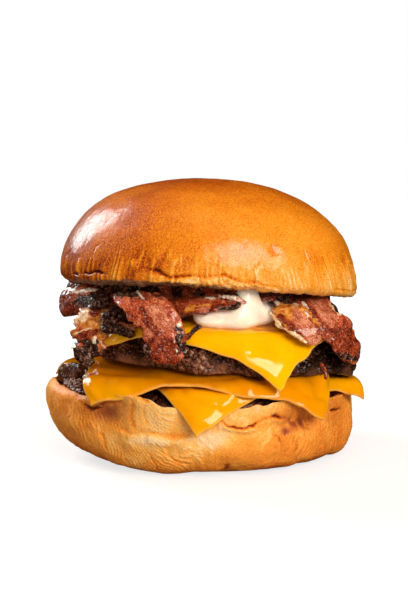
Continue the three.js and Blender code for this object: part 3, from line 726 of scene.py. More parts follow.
def crown_pleats(turn, angle, up):
    """Upright wrinkles above the lower edge: cosine waves round the crown, coarse and fine, that lean,
    are warped by noise and come and go, on broad upright bulges. Also where they reach, from 0 to 1."""
    girth = angle * CROWN["half_width"]
    tilt = girth + 0.35 * up * np.sin(angle * 1.5 + 2.2)
    around = on_line(girth)
    ragged = by_direction(turn, PLEAT_REACH) + 3.5 * noise(around, 7, 21) + 1.5 * noise(around, 2.6, 20)
    low = step(ragged, ragged - 4, up) * step(0.2, 2.0, up)
    warp = noise(xyz(tilt, 0.3 * up, 0 * up), 9, 23) + 0.5 * noise(xyz(tilt, 0.5 * up, 0 * up), 3, 24)
    right = step(-105, -75, turn) * step(20, -10, turn)
    coarse = wave(tilt / 2.5 + 1.3 * warp)
    fine = wave(tilt / 1.35 - 1.1 * warp)
    broad = power(1 - np.abs(noise(xyz(tilt / 5.0, up / 18.0, 0 * up + 7), 1.0, 22)) * 2.4, 1.3)
    alive = 0.35 + 0.65 * step(-0.4, 0.3, noise(xyz(tilt, 0.4 * up, 0 * up), 2.8, 25))
    pleats = mix(0.42, 0.2, right) * power(coarse, 2.5) + mix(0.12, 0.26, right) * power(fine, 2)
    return pleats * alive * low + 0.3 * broad * low * (1 - 0.5 * right), low


def crown_browning_and_light(plain, angle, up, pleats, low, lip, dark):
    """How brown the crown is painted, shade and highlights included: browner on top, partly from
    baking and partly as painted shade where the dome turns away; darker at the left and in the creases,
    which is painted shade; lighter on the pleats, a painted highlight on their ridges; paler near the
    lower edge and on the torn lip."""
    turn = np.degrees(angle)
    around = on_line(angle * CROWN["half_width"])
    browning_and_painted_light = 0.5 + 0.08 * noise(plain, 18, 31) + 0.04 * noise(plain, 4, 32)
    browning_and_painted_light = browning_and_painted_light - 0.22 * step(14, 5, up + 2 * noise(around + 9, 6, 33)) * step(-0.9, 0.3, np.cos(angle))
    # Browner on top, partly painted shade; the pleats get painted highlights on a darker band.
    browning_and_painted_light = browning_and_painted_light + 0.2 * step(22, 36, up + noise(plain, 14, 36)) - 0.8 * pleats + 0.2 * low
    browning_and_painted_light = mix(browning_and_painted_light, 0.24 + 0.16 * noise(plain, 2.2, 34) + 0.1 * noise(plain, 0.9, 35), 0.9 * lip)
    # Painted shade in the creases, and a little browner at the right.
    browning_and_painted_light = browning_and_painted_light + 0.42 * dark + 0.03 * step(0.1, 0.8, np.cos(angle))
    # Painted shade at the left.
    browning_and_painted_light = browning_and_painted_light + 0.26 * step(0.0, -0.7, np.cos(angle)) * (1 - 0.7 * step(22, 32, up))
    browning_and_painted_light = browning_and_painted_light - 0.25 * bell(degrees_between(turn, -10), 12) * step(3.5, 0.8, up)
    return browning_and_painted_light


def crown():
    """The crown's form, moved out along its normals by wide swells, upright pleats in the lower third,
    and one long crease above the lower edge with a torn lip under it."""
    rows = np.concatenate([
        np.linspace(0, 0.5, 60, endpoint=False),
        np.linspace(0.5, LIP, 130, endpoint=False),
        np.linspace(LIP, 1.0, 16),
    ])
    v, angle = round_grid(rows, BUN_COLUMNS)
    turn = np.degrees(angle)
    plain, up = crown_form(v, angle)
    around = on_line(angle * CROWN["half_width"])
    pleats, low = crown_pleats(turn, angle, up)
    lines, dark = creased(turn, up, CROWN["half_width"], CROWN_LINES)
    relief = pleats - 0.25 * low + lines
    relief = relief + 0.4 * noise(plain, 16, 26) + 0.12 * noise(plain, 5, 27) + 0.05 * noise(plain, 1.6, 28)
    lip = step(0.3, -0.8, up - by_direction(turn, TORN_LIP) + 0.4 * noise(plain, 2.6, 19))
    lip = lip * step(-121, -111, turn) * step(-58, -66, turn) * (up > 0.2) * (v < LIP)
    relief = relief + lip * (0.3 * noise(plain, 1.8, 40) + 0.2 * noise(plain, 0.8, 41))
    torn = 0.6 * noise(plain, 3.2, 29) + 0.35 * noise(plain, 1.3, 30)
    grid = pushed_out(plain, np.where(v < TORN, relief, torn * step(TORN, 0.92, v) * 0.6))
    # The lower edge is torn, and gapes a little at the front.
    gape = by_direction(turn, GAPE) + 0.35 * noise(around, 2.2, 37) + 0.2 * noise(around, 0.9, 38)
    grid[..., 2] = grid[..., 2] + gape * np.where(v < LIP, step(3.0, 0.2, up), step(0.97, LIP, v))
    close_poles(grid)
    browning_and_painted_light = crown_browning_and_light(plain, angle, up, pleats, low, lip, dark)
    # The grey-brown underside, darkened partly as painted shade, curls up over the lower edge at the left.
    curled = step(0.4, -0.4, up - by_direction(turn, CURLED_UP) + 0.6 * noise(plain, 2.2, 39)) * (v > DOME)
    crumb = np.maximum(step(0.872, LIP, v), curled)
    shares = {"browning_and_painted_light": browning_and_painted_light, "crumb": crumb, "dull": step(14, 4, up)}
    skin("crown", grid, crown_crust(), "bun_crust", ["bun_crown"], shares)


def heel_rim(turn):
    """Height of the heel's rim: higher at the left, except where the corner of a slice presses it."""
    left = power(np.cos(np.radians(turn - 190)), 2) * (np.cos(np.radians(turn - 190)) > 0)
    return HEEL["rim_z"] + HEEL["rim_rise"] * left - HEEL["pressed"] * bell(degrees_between(turn, 163), 13)


def heel_form(v, angle):
    """The heel's plain form: a dish, a rounded rim, and a superellipse side that tucks in to the flat
    base. Rows on the side stay evenly spaced however square it is. Also its heights."""
    h = HEEL
    outer = oval(1 + 0.006 * np.cos(3 * angle + 1) + 0.005 * np.cos(5 * angle), angle, h)
    square = sideways(angle, h["square_left"], h["square_right"])
    rim = heel_rim(np.degrees(angle))
    start = outer - h["rim_width"]
    t = clamp01(v / DISH)
    r_dish = start * t
    z_dish = mix(h["dish_z"], rim - h["groove"], t**6)
    t = clamp01((v - DISH) / (RIM - DISH)) * math.pi / 2
    r_rim = start + (outer - start) * power(np.sin(t), 2 / h["rim_square"])
    z_rim = mix(h["widest_z"], rim, power(np.cos(t), 2 / h["rim_square"]))
    z_rim = z_rim - h["groove"] * bell(r_rim - start, 1.2)
    t = power(clamp01((v - RIM) / (SIDE - RIM)), square / 2) * math.pi / 2
    r_side = h["rest_radius"] + (outer - h["rest_radius"]) * power(np.cos(t), 2 / square)
    z_side = h["widest_z"] * (1 - power(np.sin(t), 2 / square))
    r_base = h["rest_radius"] * (1 - clamp01((v - SIDE) / (1 - SIDE)))
    r = np.select([v < DISH, v < RIM, v < SIDE], [r_dish, r_rim, r_side], r_base)
    z = np.select([v < DISH, v < RIM, v < SIDE], [z_dish, z_rim, z_side], 0.0)
    return xyz(h["x"] + r * np.cos(angle), r * np.sin(angle), z), z


def heel_crinkles(turn, angle, z):
    """Fine upright wrinkles: cosine waves round the heel, coarse and fine, that lean, are warped by
    noise and come and go."""
    girth = angle * HEEL["half_width"]
    flat = xyz(girth, z, 0 * z)
    lean = 0.15 + 1.3 * bell(degrees_between(turn, -104), 16) - 0.5 * bell(degrees_between(turn, -60), 14)
    leaning = girth + z * lean
    warp = noise(flat * (1, 0.6, 1), 7, 40) + 0.45 * noise(flat, 2.6, 41)
    alive = step(-0.35, 0.35, noise(flat, 6, 42) + 0.5 * noise(flat * (1, 0.4, 1), 1.8, 43))
    high_up = step(0.8, 4.0, z) * step(HEEL["rim_z"] + 4, 19, z)
    at_ends = step(0.3, 0.75, np.abs(np.cos(angle)))
    coarse = power(wave(leaning / 1.9 + 1.2 * warp), 2)
    fine = power(wave(leaning / 1.0 - 1.5 * warp), 1.5)
    return (0.24 * coarse + 0.14 * fine) * mix(alive, 1, 0.5 * at_ends) * high_up


def heel_browning_and_light(plain, v, angle, z, crinkles, dark):
    """How brown the heel is painted, shade and highlights included: browner near the floor; darker at
    both ends and in the creases, which is painted shade; lighter on the wrinkles and in pale patches,
    which are painted highlights; a little paler at the rim."""
    turn = np.degrees(angle)
    browning_and_painted_light = 0.27 + 0.13 * noise(plain, 12, 51) + 0.07 * noise(plain, 4, 52)
    # Browner near the floor; darker at the left end, which is painted shade.
    browning_and_painted_light = browning_and_painted_light + 0.1 * step(12, 2, z) + 0.14 * step(4, 0.5, z) + 0.17 * step(0.1, -0.8, np.cos(angle))
    # Painted shade in the creases and at the right end; painted highlights on the wrinkles.
    browning_and_painted_light = browning_and_painted_light + 0.7 * dark - 0.55 * (crinkles - 0.15) + 0.19 * step(0.2, 0.9, np.cos(angle))
    # Painted highlights, as paler patches.
    for where, height, wide, high, pale in HEEL_HIGHLIGHT_PATCHES:
        browning_and_painted_light = browning_and_painted_light - 0.7 * pale * bell(degrees_between(turn, where), wide) * bell(z - height, high)
    browning_and_painted_light = browning_and_painted_light - 0.1 * bell(v - UNDER_PATTY, 0.06)
    # A painted highlight low on the front at the left.
    browning_and_painted_light = browning_and_painted_light - 0.1 * bell(degrees_between(turn, -112), 14) * bell(z - 11, 5)
    return browning_and_painted_light


def heel():
    """The heel's form, whose side is moved in and out by creases, two hollows, upright wrinkles and
    soft bulges, and whose rim laps up round the patty in places."""
    rows = np.concatenate([
        np.linspace(0, DISH, 24, endpoint=False),
        np.linspace(DISH, RIM, 44, endpoint=False),
        np.linspace(RIM, SIDE, 112, endpoint=False),
        np.linspace(SIDE, 1.0, 10),
    ])
    v, angle = round_grid(rows, BUN_COLUMNS)
    turn = np.degrees(angle)
    plain, z = heel_form(v, angle)
    lines, dark = creased(turn, z, HEEL["half_width"] - 1, HEEL_LINES)
    # The crust is pushed in under the cheese, at the left and at the right.
    left_hollow = bell(degrees_between(turn, -124), 8) * bell(z - 19.4, 2.6)
    beside = degrees_between(turn, -51)
    right_hollow = bell(beside + 1.2 * (z - 17), 7) * bell(z - 16.4 - 0.06 * beside, 2.2)
    crinkles = heel_crinkles(turn, angle, z)
    relief = lines + crinkles - 0.25 - 2.0 * left_hollow - 2.4 * right_hollow
    relief = relief + 1.1 * noise(plain, 12, 45) + 0.35 * noise(plain, 5, 46) + 0.08 * noise(plain, 2, 47)
    grid = pushed_out(plain, relief * step(0.27, 0.36, v) * step(0.875, 0.84, v))
    around = on_line(angle * HEEL["half_width"])
    lap = by_direction(turn, LAPPED) * bell(v - LAP_ROW, 0.05) * (1 + 0.25 * noise(around, 3, 50))
    away = xyz(np.cos(angle), np.sin(angle), 0 * angle)
    grid = grid + away * (0.55 * lap * (np.sin(angle) < 0.2))[..., None]
    grid[..., 2] = grid[..., 2] + lap
    # The dish stays under the patty, and the side above the floor.
    under = patty_underside(LOWER_PATTY, grid[..., 0], grid[..., 1]) - 2 * GAP
    grid[..., 2] = np.where(v < UNDER_PATTY, np.minimum(grid[..., 2], under), grid[..., 2])
    grid[..., 2] = np.maximum(grid[..., 2], 0)
    close_poles(grid)
    # Pink brown in the hollows and in a pit: partly juice stain, partly painted shade.
    juice_stain_and_shade = 1.2 * right_hollow * step(-0.6, 0.1, noise(plain, 2.2, 53)) + 0.95 * left_hollow
    juice_stain_and_shade = juice_stain_and_shade + bell(degrees_between(turn, -56.4), 2.2) * bell(z - 14.4, 1.0)
    browning_and_painted_light = heel_browning_and_light(plain, v, angle, z, crinkles, dark)
    shares = {"browning_and_painted_light": browning_and_painted_light, "juice_stain_and_shade": clamp01(juice_stain_and_shade)}
    skin("heel", grid, heel_crust(), "bun_crumb_crust", ["bun_heel"], shares)


# ---- Patties ---------------------------------------------------------------------------------------

SLICE = 2.2
LOWER_PATTY = dict(
    x=0, y=0, radius=48.6, top=30.2, bottom=22.0, fall_top=4.6, fall_bottom=0.6,
    lean_top=0.012, lean_bottom=0.012, sag=0, crag=0.55, phase=0.4,
)
UPPER_PATTY = dict(
    x=8.2, y=-0.6, radius=46.0, top=47.0, bottom=36.2, fall_top=3.5, fall_bottom=5.5,
    lean_top=0.045, lean_bottom=0.05, sag=6, crag=0.6, phase=2.1,
)
# How far from the middle of a patty its slices fold, and the radius that they fold on.
FOLD = dict(under=45.9, upper=41.5)
BEND = 4.5
# Exponents of a patty's rounded outline: how far out and how far up its upper and lower halves go.
OUT_UPPER, OUT_LOWER = 0.42, 0.3
UP_UPPER, UP_LOWER = 0.6, 0.27
PATTY_ROWS, PATTY_COLUMNS = 110, 860
# The share of a patty's radius at which its flank starts, and how little the way along its faces
# counts when its rows are spaced.
FLANK, ON_FACES = 0.8, 0.12


def patty_face(patty, x, y, middle, fall, lean):
    """Height of one face of a patty: it leans right, domes down to its edge and sags at both ends."""
    share = np.hypot(x - patty["x"], y - patty["y"]) / patty["radius"]
    end = np.abs(x - patty["x"]) / patty["radius"]
    return middle - lean * (x - patty["x"]) - fall * share**2.2 - patty["sag"] * end**3


def patty_top(patty, x, y):
    """The patty's upper face, carried on past its edge."""
    return patty_face(patty, x, y, patty["top"], patty["fall_top"], patty["lean_top"])


def patty_bottom(patty, x, y):
    """The patty's lower face, carried on past its edge."""
    return patty_face(patty, x, y, patty["bottom"], patty["fall_bottom"], patty["lean_bottom"])


def patty_underside(patty, x, y):
    """How high the underside of a patty is over a point, out to its rounded edge."""
    share = np.hypot(x - patty["x"], y - patty["y"]) / (patty["radius"] + 2.5 * patty["crag"])
    lift = power(np.sqrt(np.maximum(0, 1 - np.minimum(share, 1) ** (2 / OUT_LOWER))), UP_LOWER)
    low = mix(patty_bottom(patty, x, y), patty_top(patty, x, y), 0.5 - 0.5 * lift)
    return np.where(share < 1, low, 1e3)


def lower_stack_top(x, y):
    """The top of the two slices on the lower patty, which turn down past the fold."""
    over = np.maximum(0, np.hypot(x, y) - FOLD["under"])
    bend = BEND + SLICE + GAP
    return patty_top(LOWER_PATTY, x, y) + 2 * SLICE + 3.3 * GAP - 0.5 * over**2 / (bend + 1)


def patty_outline(t):
    """A patty's outline, from its top at t = 0 to its bottom at pi: how far out it is, from 0 to 1, and
    how far up, from 1 to -1."""
    upper = t < math.pi / 2
    out = power(np.sin(t), np.where(upper, OUT_UPPER, OUT_LOWER))
    up = np.sign(np.cos(t)) * power(np.abs(np.cos(t)), np.where(upper, UP_UPPER, UP_LOWER))
    return out, up


def patty_rows(size):
    """Rows evenly spaced along a patty's outline, and closer together on its flank."""
    t = np.linspace(0, math.pi, 6000)
    out, up = patty_outline(t)
    stretch = np.hypot(np.diff(out) * size["radius"], np.diff(up) * (size["top"] - size["bottom"]) / 2)
    gone = np.concatenate([[0], np.cumsum(stretch * np.where(out[1:] > FLANK, 1, ON_FACES))])
    return np.interp(np.linspace(0, 1, PATTY_ROWS), gone / gone[-1], t)


def patty_form(size, t, angle, on_slices):
    """A patty's plain form: its outline turned round, wavier at the flank, between its two faces. On
    slices, its lower face stays above them. Also how far up each point is, from -1 to 1."""
    out, up = patty_outline(t)
    crags = np.sin(5 * angle + size["phase"]) + 0.8 * np.sin(9 * angle + 2.3 * size["phase"])
    crags = crags + 0.7 * np.sin(14 * angle + 3 * np.cos(t) + size["phase"])
    r = (size["radius"] - 1.2) * out + size["crag"] * crags * np.sin(t) ** 2
    x, y = size["x"] + r * np.cos(angle), size["y"] + r * np.sin(angle)
    top, bottom = patty_top(size, x, y), patty_bottom(size, x, y)
    if on_slices:
        bottom = np.maximum(bottom, lower_stack_top(x, y))
    return xyz(x, y, mix(bottom, top, 0.5 + 0.5 * up)), up


def patty(name, size, node_name, on_slices, seed):
    """The patty's form, whose flank is moved out by packed grains of mince on coarser lumps."""
    t, angle = round_grid(patty_rows(size), PATTY_COLUMNS)
    plain, up = patty_form(size, t, angle, on_slices)
    stirring = xyz(noise(plain, 2.5, seed), noise(plain, 2.5, seed + 1), noise(plain, 2.5, seed + 2))
    stirred = plain + 0.9 * stirring
    near, far, kind = grains(stirred, 1.7, seed + 3)
    small, _, small_kind = grains(stirred + 3, 0.9, seed + 7)
    cracks = step(0.16, 0.0, far - near)
    lumps = noise(plain, 9, seed + 11) + 0.7 * noise(plain, 4, seed + 12)
    lumps = lumps + 0.35 * noise(stirred, 1.9, seed + 15)
    # Lower down the mince is pressed smooth, in level streaks.
    loose = 0.15 + 0.85 * step(-0.55, 0.15, noise(plain, 6, seed + 13) + 0.55 * up + 0.25)
    streaks = noise(plain * (0.35, 0.35, 1.6), 1.5, seed + 16)
    grainy = 0.6 * (0.45 - near**2) + 0.35 * (0.5 - small**2) - 0.55 * cracks
    relief = 0.45 * lumps + 0.15 * streaks + loose * grainy
    grid = pushed_out(plain, relief * step(0.1, 0.3, np.sin(t) ** 2))
    close_poles(grid)
    # Darker at the right, and red where the mince is smooth low down.
    right = step(14, 30, plain[..., 0])
    mottled = 0.16 * (kind - 0.5) + 0.34 * (small_kind - 0.5) - 0.4 * cracks
    tone = 0.4 + loose * mottled + 0.2 * lumps + 0.12 * streaks - 0.3 * right
    low = step(0.1, -0.6, up + 0.3 * noise(plain, 5, seed + 14))
    rare = 0.8 * low * (1.2 - loose) * (1 - 0.7 * right)
    skin(name, grid, BEEF, "beef", [node_name], {"tone": clamp01(tone), "rare": rare})


# ---- Cheese ----------------------------------------------------------------------------------------

# Each slice laid flat: its corners, how far its edges bow out, where it folds, and how steeply it
# hangs in each direction. Directions are degrees from +X, followed by a value and a width. Ripples
# pull the front edge back: a place along it, how far and over what share of its length. Ridges stand
# up from the hanging front: two ends as x and z, a height and a width.
# The brown share says how far past the fold a slice is painted brown: mostly painted shade, with some fat
# stain.
UNDER_SLICE = dict(
    front=(-0.8, -62.6), right=(58.8, -15.4), back=(20, 55), left=(-53.5, 15.5), bow=(-1.6, -1.6, -1.6),
    fold=FOLD["under"], farther=[(-13, 6, 9.5)], bend=BEND, lift=GAP,
    more_orange=0.6, shade_and_fat_stain=3.0, soft=1.0,
    hang=[(-92, 62, 30), (-14, 70, 14), (70, 42, 25), (163, 46, 20)], hang_else=58,
    ripples=[],
    ridges=[
        ((4.4, 29.6), (10.0, 26.6), 0.5, 0.9), ((10.0, 26.6), (14.5, 27.5), 0.5, 0.8),
        ((10.0, 26.6), (7.1, 23.9), 0.4, 0.8), ((-4.2, 28.3), (-2.4, 27.2), 0.5, 0.8),
        ((-1.0, 26.6), (5.0, 24.8), 0.35, 0.9),
    ],
)
OVER_SLICE = dict(
    front=(-36, -45.5), right=(43.6, -45.2), back=(41, 41), left=(-37, 39), bow=(2.4, 0.2, 0.2),
    fold=FOLD["under"], farther=[], bend=BEND + SLICE + GAP, lift=SLICE + 2.2 * GAP,
    more_orange=0.7, shade_and_fat_stain=7.0, soft=1.0,
    hang=[(-130, 56, 26), (-68, 54, 13), (-45, 55, 16), (45, 40, 26), (137, 40, 20)], hang_else=34,
    ripples=[(0.2, 2.8, 0.13), (0.66, 3.4, 0.16), (0.85, -0.6, 0.08), (0.93, 1.4, 0.07)],
    ridges=[
        ((7.5, 32.6), (15.7, 28.6), 0.75, 1.0), ((21.7, 29.6), (24.2, 28.2), 0.7, 1.0),
        ((32.8, 23.4), (38.0, 21.6), 0.5, 1.5), ((-33.3, 27.2), (-31.0, 25.4), 0.4, 0.9),
        ((-26.0, 28.0), (-12.0, 30.4), 0.5, 2.2), ((24.0, 30.5), (38.0, 27.0), 0.5, 2.4),
    ],
)
UPPER_SLICE = dict(
    front=(28, -59.4), right=(54, 2), back=(-12, 48), left=(-43, -24), bow=(1.2, 6, 1.2),
    fold=FOLD["upper"], farther=[], bend=BEND, lift=GAP,
    more_orange=0.0, shade_and_fat_stain=1.5, soft=0.3,
    hang=[(-73, 67, 34), (5, 30, 30), (115, 42, 30), (-154, 52, 30)], hang_else=52,
    ripples=[],
    ridges=[
        ((14.0, 35.6), (34.0, 36.6), 0.65, 6.0), ((17.0, 38.6), (21.5, 37.2), 0.25, 0.8),
        ((13.6, 40.8), (15.6, 40.2), 0.3, 0.8),
    ],
)
SLICE_SIDE = 78
# How far the edges of a slice wander, and the Y that its ridges stay in front of.
EDGE_WANDER = 0.55
RIDGES_END_Y = -20


def slice_flat(cut, u, v):
    """A slice laid flat: straight between its four corners, with its sides bowed out and its front edge
    rippled."""
    bow_front, bow_left, bow_right = cut["bow"]
    bow_u = bow_front * 4 * u * (1 - u) * (2 * v - 1)
    bow_v = mix(bow_left, bow_right, u) * 4 * v * (1 - v) * (2 * u - 1)
    for place, reach, wide in cut["ripples"]:
        bow_u = bow_u - reach * bell(u - place, wide) * clamp01(1 - 2 * v)
    x, y = (
        mix(mix(cut["front"][i], cut["right"][i], u), mix(cut["left"][i], cut["back"][i], u), v)
        for i in (0, 1)
    )
    return x + bow_v, y + bow_u


def slice_middle(cut, size, u, v):
    """The middle of a slice's thickness: it follows the patty's top as far as the fold, bends over the
    edge on a circle, and hangs straight. Also how far past the fold each point is."""
    x, y = slice_flat(cut, u, v)
    x, y = x - size["x"], y - size["y"]
    angle, flat = np.arctan2(y, x), np.hypot(x, y)
    turn = np.degrees(angle)
    fold = cut["fold"]
    for where, farther, spread in cut["farther"]:
        fold = fold + farther * bell(degrees_between(turn, where), spread)
    steep = cut["hang_else"]
    for where, hang, spread in cut["hang"]:
        steep = steep + (hang - cut["hang_else"]) * bell(degrees_between(turn, where), spread)
    steep = np.radians(steep)
    rest = np.minimum(flat, fold)
    over = flat - rest
    turned = np.minimum(over / cut["bend"], steep)
    straight = over - turned * cut["bend"]
    r = rest + cut["bend"] * np.sin(turned) + straight * np.cos(steep)
    fall = cut["bend"] * (1 - np.cos(turned)) + straight * np.sin(steep)
    px, py = size["x"] + r * np.cos(angle), size["y"] + r * np.sin(angle)
    under = patty_top(size, size["x"] + rest * np.cos(angle), size["y"] + rest * np.sin(angle))
    return xyz(px, py, under + cut["lift"] + SLICE / 2 - fall), over


def from_segment(p, start, end):
    """Distance from a segment drawn on the front, whose ends are given as x and z."""
    seen = p[..., [0, 2]] - start
    run = np.subtract(end, start)
    share = clamp01(seen @ run / (run @ run))
    return np.linalg.norm(seen - share[..., None] * run, axis=-1)


def near_edge(place):
    """1 at the first edge of a slice, -1 at the opposite one, and 0 away from both."""
    return step(0.12, 0, from_ends(place)) * np.sign(0.5 - place)


def cheese_slice(name, cut, size, node_name, seed):
    """A slice with rounded, slightly uneven edges. What hangs is moved in and out by soft swells, and
    stands up in ridges at the front."""
    places = edge_places(SLICE_SIDE, SLICE, 0.62)
    u, v = np.meshgrid(places, places, indexing="ij")
    flat = xyz(u * SLICE_SIDE, v * SLICE_SIDE, 0 * u)
    wander, near_u, near_v = EDGE_WANDER / SLICE_SIDE, near_edge(u), near_edge(v)
    moved_u = u + near_u * wander * layered(xyz(near_u, v * SLICE_SIDE, 0 * u), 7, 2, seed)
    moved_v = v + near_v * wander * layered(xyz(u * SLICE_SIDE, near_v, 0 * u), 7, 2, seed + 3)
    middle, over = slice_middle(cut, size, moved_u, moved_v)
    normal = facing(middle, False)
    loose = step(0.5, 6, over)
    swell = (0.9 * noise(middle, 9, seed + 5) + 0.45 * noise(middle, 4.2, seed + 6)) * loose * cut["soft"]
    outward = np.sign((normal[..., :2] * (middle[..., :2] - (size["x"], size["y"]))).sum(-1).mean())
    for start, end, high, wide in cut["ridges"]:
        ridge = bell(from_segment(middle, start, end), wide) * (middle[..., 1] < RIDGES_END_Y)
        swell = swell + outward * high * ridge
    middle = middle + normal * swell[..., None]
    edge = np.minimum(from_ends(u), from_ends(v)) * SLICE_SIDE
    thick = SLICE * (1 + 0.1 * noise(flat, 12, seed + 7))
    half = rounded(edge, thick) * mix(0.55, 1, step(0.2, 3.4, edge))
    blotchy = over + 1.5 * noise(flat, 5, seed + 8) + noise(flat, 2, seed + 10)
    # More orange all over, with noise, on the two lower slices.
    more_orange = cut["more_orange"] + 0.3 * noise(flat, 10, seed + 9) * (cut["more_orange"] > 0)
    shares = {
        # Brown near the patty and the fold: mostly painted shade under what lies above, with some fat stain.
        "shade_and_fat_stain": 0.7 * step(cut["shade_and_fat_stain"], -1, blotchy),
        # A pale rim along the cut edge: a painted highlight.
        "pale": 0.22 * bell(edge - 0.1, 0.35),
        "more_orange": clamp01(more_orange),
    }
    thick_sheet(name, middle, half, CHEESE, "cheese", [node_name], shares)


# ---- Bacon -----------------------------------------------------------------------------------------

RASHER = 2.5
RASHER_CUP = 0.009
RIBBON_STEPS = 800  # steps along a route, from which its places are read
SPOTS_END_Y = -8  # spots are seen from the front, so they stay in front of this Y

def smooth_path(stops, t):
    """A centripetal Catmull-Rom curve through the stops, t from 0 at the first to 1 at the last: each
    stretch is a cubic whose end slopes weigh the chords by the root of their length."""
    stops = np.asarray(stops, float)
    padded = np.concatenate([2 * stops[:1] - stops[1:2], stops, 2 * stops[-1:] - stops[-2:-1]])
    reach = clamp01(t) * (len(stops) - 1)
    i = np.minimum(reach.astype(int), len(stops) - 2)
    w = (reach - i)[..., None]
    p0, p1, p2, p3 = (padded[i + k] for k in range(4))
    spans = [
        np.maximum(np.linalg.norm(b - a, axis=-1, keepdims=True), 1e-8) ** 0.5
        for a, b in ((p0, p1), (p1, p2), (p2, p3))
    ]
    d0, d1, d2 = spans
    d1 = np.where(d1 < 1e-4, 1, d1)
    d0, d2 = np.where(d0 < 1e-4, d1, d0), np.where(d2 < 1e-4, d1, d2)
    s1 = ((p1 - p0) / d0 - (p2 - p0) / (d0 + d1) + (p2 - p1) / d1) * d1
    s2 = ((p2 - p1) / d1 - (p3 - p1) / (d1 + d2) + (p3 - p2) / d2) * d1
    return p1 + s1 * w + (-3 * p1 + 3 * p2 - 2 * s1 - s2) * w**2 + (2 * p1 - 2 * p2 + s1 + s2) * w**3


